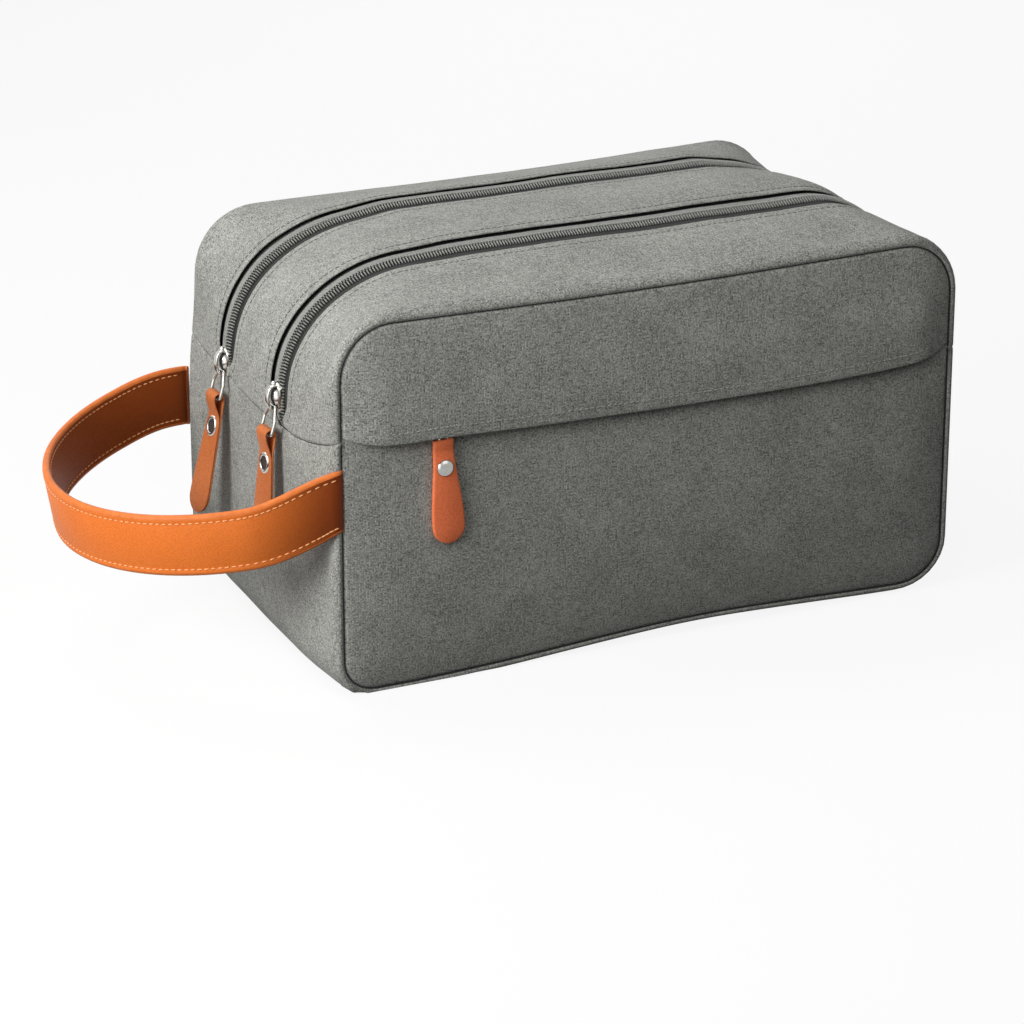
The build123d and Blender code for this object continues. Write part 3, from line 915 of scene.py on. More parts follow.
piece = lay_panel("front_pocket_panel", pocket_surface, -1)
pocket_cut = POCKET_TOP + 1 * MM
cut_flat(piece, pocket_cut, True)
for vertex in piece.data.vertices:
    near_cut = step((vertex.co.z - (pocket_cut - CUT_REACH)) / CUT_REACH)
    vertex.co.z += top_rise(vertex.co.x) * near_cut
finish_cloth(piece, "front_pocket_panel")

# %% [markdown]
# The upper front runs on down as a flap over the pocket's zip. It stands off a little further
# towards its folded edge, so that the slider can run behind it, and its ends are caught in the
# side seams. The fold is made by extruding the cut edge inwards and up.

# %% Upper front and flap
FLAP_OUT = 6.0 * MM
FLAP_FOLD = 0.65 * MM
FLAP_CUT = 104 * MM


def flap_edge(x):
    """Height of the flap's folded edge, which climbs into the side seams."""
    bow = 0.157 * (x - 35 * MM) ** 2
    ends = 4.0 * MM * fade(x + HALF_LENGTH, 6) + 5.0 * MM * fade(HALF_LENGTH - x, 10)
    return 97.3 * MM + bow + ends + 0.9 * MM * rise(x, -110, 25)


def upper_surface(x, z, inset):
    """Height of the upper front over the seam plane."""
    lean = (FLAP_OUT - 2.3 * MM) * step((SEAM_HEIGHT - 3 * MM - z) / (38 * MM))
    side = rise(HALF_LENGTH - abs(x), 1, 17)
    crease = 0.45 * MM * bell(z - crease_line(x), 0, 0.9)
    return shoulder(inset, 2.3 * MM) + (lean - crease) * side + unevenness(x, 4, z, inset)


def crease_line(x):
    """Height of the faint tuck above the flap, which sinks towards the right."""
    share = (x + HALF_LENGTH) / (2 * HALF_LENGTH)
    return (118.0 - 8.0 * share**0.7) * MM


piece = lay_panel("front_upper_panel", upper_surface, -1)
cut_flat(piece, FLAP_CUT, False)
print("upper front cut at", FLAP_CUT)

# %% Fold the flap's edge


def extrude_edge(piece, moves):
    """Extrude the open lower edge by each (y, z) move in turn."""
    only(piece)
    bpy.ops.object.mode_set(mode="EDIT")
    bpy.ops.mesh.select_mode(type="EDGE")
    bpy.ops.mesh.select_all(action="DESELECT")
    bpy.ops.object.mode_set(mode="OBJECT")
    low = min(v.co.z for v in piece.data.vertices)
    for edge in piece.data.edges:
        edge.select = all(piece.data.vertices[k].co.z < low + 0.01 * MM for k in edge.vertices)
    bpy.ops.object.mode_set(mode="EDIT")
    for dy, dz in moves:
        bpy.ops.mesh.extrude_region_move(TRANSFORM_OT_translate={"value": (0, dy, dz)})
    bpy.ops.object.mode_set(mode="OBJECT")


straight_run = [(0, -1.0 * MM)] * 5
turn_in = [(0, 2 * MM), (0, 8 * MM)]
fold = []
last = (0.0, 0.0)
for degrees in (30, 60, 90, 120, 150, 180):
    a = radians(degrees)
    spot = (FLAP_FOLD * (1 - cos(a)), -FLAP_FOLD * sin(a))
    fold.append((spot[0] - last[0], spot[1] - last[1]))
    last = spot
extrude_edge(piece, straight_run + fold + turn_in)
bend_from = FLAP_CUT + 9 * MM
straight_edge = FLAP_CUT - 5 * MM
for vertex in piece.data.vertices:
    co = vertex.co
    if co.z < bend_from:
        share = min(1.0, (bend_from - co.z) / (bend_from - straight_edge))
        co.z += (flap_edge(co.x) - straight_edge) * share
uv_layer = piece.data.uv_layers[0].data
for loop in piece.data.loops:
    co = piece.data.vertices[loop.vertex_index].co
    uv_layer[loop.index].uv = (co.x, co.z)
finish_cloth(piece, "front_upper_panel")

# %% [markdown]
# ## The layers inside
# Padding, lining, seam tapes, the divider and the pocket's zip lie under the cloth and settle
# with it. Each is copied from the frame, cut into short lengths so that it can bend, and laid
# into the settled form. A box map in metres gives its weave the same scale on every side.

# %% Settle the inner layers
CUT_STEP = 12 * MM


def cut_across(piece, axis, low, high):
    """Bisect a piece at even steps along one axis, so that it can bend."""
    normal = [0, 0, 0]
    normal[axis] = 1
    count = int((high - low) / CUT_STEP)
    with editing(piece):
        for index in range(1, count + 1):
            spot = [0, 0, 0]
            spot[axis] = low + (high - low) * index / (count + 1)
            bpy.ops.mesh.select_all(action="SELECT")
            bpy.ops.mesh.bisect(plane_co=spot, plane_no=normal)


def box_map(piece):
    """Lay a UV map in metres on a piece, seen along each face's main direction."""
    mesh = piece.data
    layer = mesh.uv_layers[0] if mesh.uv_layers else mesh.uv_layers.new(name="UVMap")
    for polygon in mesh.polygons:
        size = [abs(value) for value in polygon.normal]
        across, up = [(1, 2), (0, 2), (0, 1)][size.index(max(size))]
        for loop in polygon.loop_indices:
            co = mesh.vertices[mesh.loops[loop].vertex_index].co
            layer.data[loop].uv = (co[across], co[up])


def settle_copy(node_name, slot_name):
    """Copy a soft node, lay it into the settled form, and let it stand for the node."""
    piece = bpy.data.objects.new(node_name + "_settled", NODES[node_name].data.copy())
    bpy.context.scene.collection.objects.link(piece)
    with editing(piece):
        bpy.ops.mesh.remove_doubles(threshold=0.01 * MM)
    low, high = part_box(node_name)
    for axis in range(3):
        cut_across(piece, axis, low[axis], high[axis])
    for vertex in piece.data.vertices:
        vertex.co = settled(*vertex.co)
    box_map(piece)
    return finish_piece(piece, "bag", slot_name, SLOT_FINISH[slot_name], node_name)


SETTLING_SLOTS = ("lining_fabric", "foam", "board")
for row in frame["record"]["subparts"]:
    name, slot_name = row["node"], row["material_slot"]
    if slot_name in SETTLING_SLOTS or name.startswith(("pocket_zip_tape", "pocket_zip_coil")):
        piece = settle_copy(name, slot_name)

# %% [markdown]
# ## Top zips
# Behind each gap lie two woven tapes, each with a nylon coil on its inner edge. The tape on the far side sits
# high, so it shows pale between the coil and the hem. Under both it is painted shade, and so is all of the near
# tape, which hangs lower. The coils are hundreds of small loops, so one loop is modelled and then repeated along a
# route on the settled bag.

# %% Routes and repeats
NUDGE = 0.2 * MM
ZIPS = (("front", -ZIP_Y), ("rear", ZIP_Y))


def route_frame(over_top, y, along, height):
    """Point on the bag with its directions along, across (towards the rear) and out."""
    point = Vector(on_bag(over_top, y, along, height))
    ahead = (Vector(on_bag(over_top, y, along + NUDGE, height)) - point).normalized()
    rear = Vector(on_bag(over_top, y + NUDGE, along, height)) - point
    out = Vector(on_bag(over_top, y, along, height + NUDGE)) - point
    out = (out - ahead * out.dot(ahead)).normalized()
    across = (rear - ahead * rear.dot(ahead) - out * rear.dot(out)).normalized()
    return point, ahead, across, out


def repeat_piece(name, template, frames):
    """One mesh with a copy of the template at every (point, x, y, z) frame."""
    source = np.array([v.co for v in template.data.vertices])
    corners = [tuple(p.vertices) for p in template.data.polygons]
    points, faces = [], []
    for index, (point, x, y, z) in enumerate(frames):
        turn = np.array([x, y, z])
        points.append(source @ turn + np.array(point))
        faces += [tuple(k + index * len(source) for k in corner) for corner in corners]
    mesh = bpy.data.meshes.new(name)
    mesh.from_pydata(np.concatenate(points).tolist(), [], faces)
    piece = bpy.data.objects.new(name, mesh)
    bpy.context.scene.collection.objects.link(piece)
    smooth(piece, 60)
    return piece


def bead(name, length, width, height, segments=8, rings=5):
    """A small rounded bead, the start of a coil loop or a stitch."""
    bpy.ops.object.select_all(action="DESELECT")
    bpy.ops.mesh.primitive_uv_sphere_add(segments=segments, ring_count=rings, radius=0.5)
    piece = name_new(name)
    for vertex in piece.data.vertices:
        x, y, z = vertex.co
        vertex.co = (x * length, y * width, z * height)
    return piece


def drop_template(piece):
    bpy.data.objects.remove(piece, do_unlink=True)


# %% Zip tapes and coils
PITCH = 1.2 * MM
FAR_TAPE = [
    (-0.8, -1.6), (-0.8, -0.9), (1.0, -0.6), (1.5, 0.15), (2.2, 0.3), (4.9, 0.3),
    (5.2, -0.5), (5.6, -0.7), (7.0, -0.7), (9.5, -1.2),
]
NEAR_TAPE = [
    (-1.2, -1.7), (-1.2, -1.1), (-4.4, -0.9), (-5.4, -0.8), (-7.0, -1.1), (-9.0, -1.5), (-11.5, -2.0),
]
PALE_GIRTH = (3.4 * MM, 6.9 * MM)
COIL_LIE = {FAR: (-0.35 * MM, 0.5 * MM, -12), CLOSE: (-3.3 * MM, 0.3 * MM, 18)}
LOOP = bead("coil_loop", 3.5 * MM, 0.62 * MM, 1.1 * MM)


def tape_piece(node_name, zip_y, section, finish):
    """One zip tape, laid under the hem on one side of the zip."""
    rows = [(zip_y + across * MM, height * MM) for across, height in section]
    points, uvs = gusset_rows(True, rows, plain_cloth)
    piece = lay_grid(node_name + "_woven", points, uvs, away_from_middle)
    thicken(piece, CLOTH)
    smooth(piece, 60)
    return finish_piece(piece, "bag", "zip_tape", finish, node_name)


def shade_tape(piece):
    """Leave a tape pale on its open part, and give it painted shade under the coil and the hem."""
    piece.data.materials.append(SHADED_TAPE)
    uv = piece.data.uv_layers[0].data
    for polygon in piece.data.polygons:
        girth = sum(uv[k].uv[1] for k in polygon.loop_indices) / polygon.loop_total
        polygon.material_index = 0 if PALE_GIRTH[0] < girth < PALE_GIRTH[1] else 1


def coil_piece(node_name, zip_y, side):
    """One coil: loops that reach in from one side and lie a half pitch off the other's."""
    total = outline_length(True, swell(zip_y))
    middle, height, tilt = COIL_LIE[side]
    start = 2 * MM + (PITCH / 2 if side == FAR else 0.0)
    frames = []
    for index in range(int((total - 4 * MM) / PITCH)):
        point, ahead, across, out = route_frame(True, zip_y + middle, start + PITCH * index, height)
        lean = across * cos(radians(tilt)) + out * sin(radians(tilt))
        frames.append((point, lean, ahead, lean.cross(ahead)))
    piece = repeat_piece(node_name + "_loops", LOOP, frames)
    return finish_piece(piece, "bag", "zip_coil", COIL, node_name)


for name, zip_y in ZIPS:
    a_is_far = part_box(f"{name}_zip_tape_a")[1].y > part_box(f"{name}_zip_tape_b")[1].y
    far, near = ("a", "b") if a_is_far else ("b", "a")
    # The far tape is pale only on its open part; the rest of it, and all of the near tape, is painted shade.
    shade_tape(tape_piece(f"{name}_zip_tape_{far}", zip_y, FAR_TAPE, ZIP_TAPE))
    tape_piece(f"{name}_zip_tape_{near}", zip_y, NEAR_TAPE, SHADED_TAPE)
    coil_piece(f"{name}_zip_coil_{far}", zip_y, FAR)
    coil_piece(f"{name}_zip_coil_{near}", zip_y, CLOSE)
drop_template(LOOP)

# %% [markdown]
# ## Stitching
# Lock stitches hold the hems along the zips and the fold of the flap. Each stitch is a small
# bead that lies half sunk in its dent.

# %% Stitch rows
HEM_STITCH = bead("hem_stitch", 2.1 * MM, 0.5 * MM, 0.4 * MM, 6, 4)
HEM_PITCH = 2.5 * MM
PROUD = 0.06 * MM


def hem_stitches(name, y, height):
    total = outline_length(True, swell(y))
    frames = []
    for index in range(int((total - 8 * MM) / HEM_PITCH)):
        along = 4 * MM + HEM_PITCH * index
        depth = drawn_in(y, min(along, total - along))
        frames.append(route_frame(True, depth, along, height))
    piece = repeat_piece(name, HEM_STITCH, frames)
    return finish_piece(piece, "bag", "outer_fabric", GREY_THREAD)


for name, zip_y in ZIPS:
    for side, label in ((CLOSE, "near"), (FAR, "far")):
        y = zip_y + side * (HEM_EDGES[side] + STITCH_IN)
        height = hem_height(STITCH_IN, cloth_at(y), side) + PROUD
        hem_stitches(f"{name}_zip_stitches_{label}", y, height)

# %% Flap stitches
FLAP_PITCH = 2.4 * MM
FLAP_STITCH = bead("flap_stitch", 2.0 * MM, 0.5 * MM, 0.5 * MM, 6, 4)
FLAP_STITCH_UP = 3.8 * MM
FLAP_MARGIN = 8 * MM
BEFORE_BAG = -0.12
flap = bpy.data.objects["front_upper_panel_cloth"].data
flap_tree = BVHTree.FromPolygons([v.co for v in flap.vertices], [p.vertices for p in flap.polygons])
frames = []
for index in range(int(2 * (HALF_LENGTH - FLAP_MARGIN) / FLAP_PITCH)):
    x = -HALF_LENGTH + FLAP_MARGIN + FLAP_PITCH * index
    z = flap_edge(x) + FLAP_STITCH_UP
    point, normal, _, _ = flap_tree.ray_cast(Vector((x, BEFORE_BAG, z)), Vector((0, 1, 0)))
    if point is not None:
        along = Vector((1, 0, flap_edge(x + NUDGE) / NUDGE - flap_edge(x) / NUDGE)).normalized()
        frames.append((point, along, normal.cross(along), normal))
piece = repeat_piece("flap_stitches", FLAP_STITCH, frames)
finish_piece(piece, "bag", "outer_fabric", PALE_THREAD)
drop_template(HEM_STITCH)
drop_template(FLAP_STITCH)

# %% [markdown]
# ## Swept pieces
# Wire, leather strips and the slider's bridge all have one section that runs along a line. A
# sweep lays that section at each station of the line, closes it round and closes both ends.

# %% Sweep a section along a line


def stadium(half_width, half_thick, corner=5):
    """Points round a flat strip with rounded edges, as (across, out)."""
    straight = max(half_width - half_thick, 0.0)
    points = []
    for side in (1, -1):
        for index in range(corner + 1):
            a = -pi / 2 + pi * index / corner
            points.append((side * (straight + half_thick * cos(a)), side * half_thick * sin(a)))
    return points


def round_section(radius, count):
    """Points round a wire, as (across, out)."""
    turns = [2 * pi * k / count for k in range(count)]
    return [(radius * cos(turn), radius * sin(turn)) for turn in turns]


def sweep(name, line, closed=False):
    """A closed skin through stations of (centre, across, out, section)."""
    rows, uvs = [], []
    run = 0.0
    last = None
    for centre, across, out, section in line:
        run += (centre - last).length if last is not None else 0.0
        last = centre
        row = [centre + across * u + out * v for u, v in section]
        rows.append([tuple(p) for p in row + row[:1]])
        uvs.append([(run, u) for u, _ in section + section[:1]])
    if closed:
        rows.append(rows[0])
        uvs.append([(run + NUDGE, u) for _, u in uvs[0]])
    else:
        start, end = ([tuple(line[at][0])] * len(rows[0]) for at in (0, -1))
        rows = [start] + rows + [end]
        uvs = [uvs[0]] + uvs + [uvs[-1]]
    piece = lay_grid(name, rows, uvs)
    with editing(piece):
        bpy.ops.mesh.remove_doubles(threshold=0.002 * MM)
        bpy.ops.mesh.normals_make_consistent(inside=False)
    return smooth(piece, 50)


def join(name, pieces):
    """Join pieces into the first one."""
    only(pieces[0])
    for piece in pieces[1:]:
        piece.select_set(True)
    bpy.ops.object.join()
    return name_new(name)


def closed_wire(name, points, out, section):
    """Sweep a wire round a closed flat line."""
    line = []
    for index, point in enumerate(points):
        ahead = (points[(index + 1) % len(points)] - points[index - 1]).normalized()
        line.append((point, ahead.cross(out).normalized(), out, section))
    return sweep(name, line, closed=True)


# %% [markdown]
# ## Seam lines
# Where two cloths meet, the seam's groove reads as a thin dark line. That line is painted shade, laid as a dark
# cord: one across the left end, where the top strips meet the band, and one in each panel's crease.

# %% End seam
END_WIRE = round_section(0.28 * MM, 8)
END_REACH = SEAM_Y - 4.8 * MM
END_COUNT = 120
line = []
for index in range(END_COUNT + 1):
    y = -END_REACH + 2 * END_REACH * index / END_COUNT
    centre = on_bag(True, y, 0.0, cloth_at(y) + end_dip(0.0, 1.0) + 0.12 * MM)
    line.append((Vector(centre), Vector((0, 0, 1)), Vector((-1, 0, 0)), END_WIRE))
finish_piece(sweep("end_seam_shade_cord", line), "bag", "outer_fabric", SEAM_PAINTED_SHADE)

# %% Creases of the panels' seams
CREASE_IN = 0.7 * MM
CREASE_DOWN = 0.4 * MM
CREASE_WIRE = round_section(0.5 * MM, 8)
CREASE_SPOTS = [ring_point(edge, k / 48, CREASE_IN) for edge in range(4) for k in range(48)]


def seam_shade_cord(name, side):
    """The dark cord of painted shade at the bottom of the crease between a panel and the gusset."""
    depth = side * (SEAM_Y - CREASE_DOWN)
    points = [Vector(settled(x, depth, z)) for x, z in CREASE_SPOTS]
    cord = closed_wire(name, points, Vector((0, side, 0)), CREASE_WIRE)
    return finish_piece(cord, "bag", "outer_fabric", SEAM_PAINTED_SHADE)


seam_shade_cord("front_seam_crease", -1)
seam_shade_cord("back_seam_crease", 1)

# %% [markdown]
# ## Sliders, rings and leather pulls of the top zips
# A slider is a cast body: a plate that is wide at its crown, with a bridge over it. A wire ring passes under the
# bridge and carries a leather strip, which is folded over the ring and held by an eyelet. Each set sits where its
# zip has settled.

# %% Slider


def slider_plate(name):
    """The upper plate, with its edges turned down as flanges; X across, Y up the zip, Z out."""
    rows, uvs = [], []
    for j in range(25):
        v = -6.0 + 12.0 * j / 24
        end = sqrt(max(0.02, 1 - abs(v / 6.05) ** 5))
        half = (3.35 + 0.95 * step((v + 3) / 6)) * end
        row = []
        for i in range(17):
            u = -1.3 + 2.6 * i / 16
            x = half * max(-1.0, min(1.0, u))
            down = 1.5 * max(0.0, abs(u) - 1.0) / 0.3
            rim = 0.35 * exp(-(((abs(u) - 0.82) / 0.13) ** 2))
            row.append((x * MM, v * MM, (1.35 + rim - 0.25 * abs(u) ** 6 - down) * MM))
        rows.append(row)
        uvs.append([(x, y) for x, y, _ in row])
    piece = lay_grid(name, rows, uvs, lambda point: Vector((0, 0, 1)))
    thicken(piece, 0.5 * MM)
    return smooth(piece, 50)


def slider_bridge(name):
    """The bridge: a thin band that stands on both ends of the plate, open where the ring passes."""
    across = Vector((1, 0, 0))
    band = stadium(1.35 * MM, 0.55 * MM)
    line = []
    for k in range(25):
        a = pi * k / 24
        centre = Vector((0, 0.1 + 4.75 * cos(a), 1.1 + 3.8 * sin(a) ** 0.6)) * MM
        slope = Vector((0, -4.75 * sin(a), 3.8 * cos(a) * 0.8)).normalized()
        line.append((centre, across, across.cross(slope), band))
    return sweep(name, line)


def knob(name, size, middle):
    """A ball or dome of the casting, by its size and middle in millimetres."""
    piece = bead(name, *(side * MM for side in size), 24, 14)
    for vertex in piece.data.vertices:
        vertex.co += Vector(middle) * MM
    return smooth(piece, 60)


def make_slider(name):
    dome = knob(name + "_dome", (5.8, 7.2, 4.2), (0, 0.3, 1.2))
    crown = knob(name + "_crown", (2.2, 2.2, 2.2), (0, 5.6, 2.1))
    tip = knob(name + "_tip", (1.8, 1.8, 1.8), (0, -5.9, 1.5))
    pieces = [slider_plate(name + "_plate"), slider_bridge(name + "_bridge"), dome, crown, tip]
    return join(name, pieces)


def under_bridge(piece, turned):
    """Give the casting painted shade in the tunnel: on the dome under the bridge and under the band."""
    back = turned.inverted()
    piece.data.materials.append(TUNNEL_PAINTED_SHADE)
    for polygon in piece.data.polygons:
        spot, facing = back @ polygon.center, back.to_3x3() @ polygon.normal
        inside = abs(spot.x) < 1.1 * MM and abs(spot.y) < 4.2 * MM and spot.z > 0
        if inside and (spot.z < 3.5 * MM if facing.z > 0 else spot.z > 1.5 * MM):
            polygon.material_index = 1


# %% Ring and leather strip
WIRE = 0.65 * MM


def round_path(corners, radius, arc=6):
    """A closed path through flat corners (u, v), each rounded, as a list of points."""
    points = []
    for index, corner in enumerate(corners):
        here = Vector(corner)
        before = (Vector(corners[index - 1]) - here).normalized()
        after = (Vector(corners[(index + 1) % len(corners)]) - here).normalized()
        half = before.angle(after) / 2
        middle = here + (before + after).normalized() * (radius / sin(half))
        start, end = here + before * (radius / tan(half)), here + after * (radius / tan(half))
        a, b = start - middle, end - middle
        for k in range(arc + 1):
            turn = a.lerp(b, k / arc).normalized() * radius
            points.append(middle + turn)
    return points


def wire_loop(name, corners, radius, thick, place):
    """A closed wire in the plane that place(u, v) stands on."""
    points = [place(u, v) for u, v in round_path(corners, radius)]
    across = (place(1, 0) - place(0, 0)).normalized()
    down = (place(0, 1) - place(0, 0)).normalized()
    return closed_wire(name, points, across.cross(down), round_section(thick, 12))


def rounded_tip(width, down, tip, radius):
    """Half a strip's width that far down, where its tip is rounded off."""
    beyond = max(0.0, down - (tip - radius))
    return width / 2 * sqrt(max(0.004, 1 - (beyond / radius) ** 2))


def strip_width(down, tip, fold_width, eye_width, tip_width, eye):
    """Half width of a leather pull that far below its bar."""
    if down < eye - 6 * MM:
        width = fold_width
    elif down < eye:
        width = fold_width + (eye_width - fold_width) * step((down - eye + 6 * MM) / (6 * MM))
    else:
        width = eye_width + (tip_width - eye_width) * min(1.0, (down - eye) / (tip - eye - 10 * MM))
    return rounded_tip(width, down, tip, tip_width / 2)


PULL = {"layer": 0.65 * MM, "loop": 2.4 * MM, "tip": 47 * MM, "eye": 12 * MM}
TOP_TWIST = 2.5
PULL_TWIST = 9.2


def leather_strip(name, bar, side_lean):
    """A strip folded over the ring's bar: down behind it, over it, and down in front."""
    tip = PULL["tip"]
    gap = PULL["loop"] - PULL["layer"] / 2
    downs = [tip - 0.02 * MM, tip - 0.5 * MM, tip - 1.2 * MM]
    downs += [tip - 0.02 * MM - (tip * k / 42) for k in range(2, 42)]

    def spot(down, face):
        apart = PULL["layer"] / 2 + (gap - PULL["layer"] / 2) * (1 - step(down / (PULL["eye"] - 2.5 * MM)))
        below = max(0.0, down - PULL["eye"] * 0.6)
        lean_out = tan(side_lean) * below
        return Vector((-(face * apart + lean_out), 0, -down))

    route = [(spot(down, -1), down, -1) for down in downs]
    for index in range(1, 12):
        a = pi * index / 12
        route.append((Vector((gap * cos(a), 0, gap * sin(a))), 0.0, 0))
    route += [(spot(down, 1), down, 1) for down in reversed(downs)]
    line = []
    for index, (point, down, _) in enumerate(route):
        turn = radians(TOP_TWIST + (PULL_TWIST - TOP_TWIST) * step(down / PULL["eye"]))
        across = Vector((-sin(turn), cos(turn), 0))
        before, after = route[max(index - 1, 0)][0], route[min(index + 1, len(route) - 1)][0]
        ahead = (after - before).normalized()
        out = ahead.cross(across).normalized()
        half = strip_width(down, tip, 8.1 * MM, 9.4 * MM, 13.2 * MM, PULL["eye"])
        section = stadium(max(half, PULL["layer"] / 2 + 0.01 * MM), PULL["layer"] / 2)
        line.append((bar + point, across, out, section))
    return sweep(name, line)


# %% Eyelets and rivets


def pressed_cap(name, radius, steps):
    """A round cap pressed from a disc: each step insets its top and lifts it, in millimetres."""
    bpy.ops.object.select_all(action="DESELECT")
    bpy.ops.mesh.primitive_circle_add(vertices=32, radius=radius, fill_type="NGON")
    piece = name_new(name)
    with editing(piece):
        bpy.ops.mesh.select_mode(type="FACE")
        bpy.ops.mesh.select_all(action="SELECT")
        for inset, lift in steps:
            up = (0, 0, lift * MM)
            if inset == 0:
                bpy.ops.mesh.extrude_region_move(TRANSFORM_OT_translate={"value": up})
            else:
                bpy.ops.mesh.inset(thickness=inset * MM, depth=0)
                bpy.ops.transform.translate(value=up)
    return smooth(piece, 50)


EYELET_STEPS = [(0, 0.25), (0.25, 0.3), (0.3, 0.15), (0.4, 0.0), (0.25, -0.2), (0.15, -0.32)]
EYELET_STRETCH = 1.28
EYELET_HOLE = 2.15 * MM
CAP_RADIUS = 3.4 * MM
DOME_STEPS = [(0, 0.2), (0.25, 0.35), (0.55, 0.45), (0.7, 0.3), (0.8, 0.15), (0.6, 0.03)]


def turn_to(across, out, point):
    """Matrix that stands a flat piece on a point, with its Z along out."""
    up = out.cross(across).normalized()
    return Matrix((
        (across.x, up.x, out.x, point.x),
        (across.y, up.y, out.y, point.y),
        (across.z, up.z, out.z, point.z),
        (0, 0, 0, 1),
    ))


# %% Parts of a top pull


def top_ring(name, top, bar):
    """The wire ring: narrow under the bridge, and wide at the bar that carries the leather."""
    drop = (bar - top).length
    downward = (bar - top).normalized()
    half = [(2.4 * MM, 0), (5.0 * MM, 0.45 * drop), (5.0 * MM, drop)]
    corners = half + [(-u, v) for u, v in reversed(half)]

    def place(u, v):
        return top + Vector((0, u, 0)) + downward * v

    return wire_loop(name, corners, 1.3 * MM, WIRE, place)


def make_eyelet(name, bar, lean):
    """The oval eyelet, pressed through both layers, with painted shade inside its hole."""
    twist = radians(PULL_TWIST)
    across = Vector((-sin(twist), cos(twist), 0))
    down_line = Vector((-sin(lean), 0, -cos(lean)))
    out = down_line.cross(across).normalized()
    out = out if out.x < 0 else -out
    face = bar + Vector((-tan(lean) * (PULL["eye"] * 0.4), 0, -PULL["eye"]))
    halves = []
    for side, label in ((1, "front"), (-1, "back")):
        cap = pressed_cap(f"{name}_eyelet_{label}", CAP_RADIUS, EYELET_STEPS)
        for vertex in cap.data.vertices:
            vertex.co.y *= EYELET_STRETCH
        rest = face + out * side * (PULL["layer"] - 0.05 * MM)
        cap.data.transform(turn_to(across * side, out * side, rest))
        halves.append(cap)
    piece = join(f"{name}_eyelet", halves)
    finish_piece(piece, f"{name}_pull", "nickel", NICKEL, f"{name}_zip_pull_rivet")
    # The middle of each eyelet, inside its hole, is painted shade.
    piece.data.materials.append(EYELET_PAINTED_SHADE)
    for polygon in piece.data.polygons:
        gap = polygon.center - face
        inside = hypot(gap.dot(across), gap.dot(down_line) / EYELET_STRETCH) < EYELET_HOLE
        polygon.material_index = 1 if inside else 0


# %% Assemble both top pulls
PULL_LEAN = {"front": radians(4.6), "rear": radians(13.0)}
SET_DOWN = {"front": 0.0, "rear": 0.8 * MM}
END_X = -HALF_LENGTH - END_BULGE
for name, zip_y in ZIPS:
    low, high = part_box(f"{name}_zip_slider")
    middle = Vector((END_X, zip_y, (low.z + high.z) / 2))
    moved = Vector(settled(*middle)) - middle - Vector((0, 0, SET_DOWN[name]))
    place = turn_to(Vector((0, -1, 0)), Vector((-1, 0, 0)), middle + moved)
    body = make_slider(f"{name}_slider_cast")
    body.data.transform(place)
    finish_piece(body, f"{name}_slider", "nickel", NICKEL, f"{name}_zip_slider")
    under_bridge(body, place)

    top = Vector(JOINTS[f"{name}_ring_swing"]["pos_m"]) + moved
    bar = Vector(JOINTS[f"{name}_pull_swing"]["pos_m"]) + moved
    ring = top_ring(f"{name}_wire_ring", top, bar)
    finish_piece(ring, f"{name}_ring", "nickel", NICKEL, f"{name}_zip_ring")
    strip = leather_strip(f"{name}_leather_strip", bar, PULL_LEAN[name])
    finish_piece(strip, f"{name}_pull", "pull_leather", PULL_LEATHER, f"{name}_zip_pull")
    make_eyelet(name, bar, PULL_LEAN[name])

# %% [markdown]
# ## Pocket zip's slider and pull
# The slider runs hidden behind the flap, and only its leather shows. The strip follows the
# panel's swell, so it lies close to it, and a domed rivet closes it.

# %% Pocket slider and pull
pocket_bar = Vector(JOINTS["pocket_pull_swing"]["pos_m"])
POCKET_TIP = 40 * MM
POCKET_EYE = 10 * MM
POCKET_TURN = radians(3)
POCKET_SCALE = 0.75
POCKET_HALF_THICK = 0.9 * MM
BAIL_HALF = 1.7 * MM
slit = (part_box("pocket_zip_tape_upper")[0].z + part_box("pocket_zip_tape_lower")[1].z) / 2
slide_middle = Vector((pocket_bar.x, -SEAM_Y - 0.6 * MM, slit))
body = make_slider("pocket_slider_cast")
body.data.transform(Matrix.Scale(POCKET_SCALE, 4))
body.data.transform(turn_to(Vector((0, 0, -1)), Vector((0, -1, 0)), slide_middle))
reach = slide_middle.z - pocket_bar.z
corners = [(-BAIL_HALF, 0), (BAIL_HALF, 0), (BAIL_HALF, reach), (-BAIL_HALF, reach)]
hook = wire_loop("pocket_slider_bail", corners, 0.9 * MM, 0.5 * MM,
                 lambda u, v: Vector((pocket_bar.x + u, pocket_bar.y, slide_middle.z - v)))
body = join("pocket_slider_with_bail", [body, hook])
finish_piece(body, "pocket_slider", "nickel", NICKEL, "pocket_zip_slider")

# %% Pocket pull


def panel_front(x, z):
    """Depth of the pocket panel's face at a place."""
    inset = min(x + HALF_LENGTH, HALF_LENGTH - x, z)
    return settled(x, -SEAM_Y - pocket_surface(x, z, inset), z)[1]


def pocket_half(down):
    """Half width of the pocket's pull that far below its bar."""
    width = 8.4 * MM + 4.8 * MM * step((down - 2 * MM) / (POCKET_TIP - 10 * MM))
    return rounded_tip(width, down, POCKET_TIP, 6.6 * MM)


def pocket_out(down):
    """Depth of the strip's middle: by the bar at the top, and then close to the panel."""
    resting = panel_front(pocket_bar.x, pocket_bar.z - down) - 1.25 * MM
    return resting + (pocket_bar.y - resting) * (1 - rise(down, 0, 4))


def pocket_spot(down, depth):
    """A place on the pull's middle line, at some depth."""
    return Vector((pocket_bar.x + tan(POCKET_TURN) * down, depth, pocket_bar.z - down))


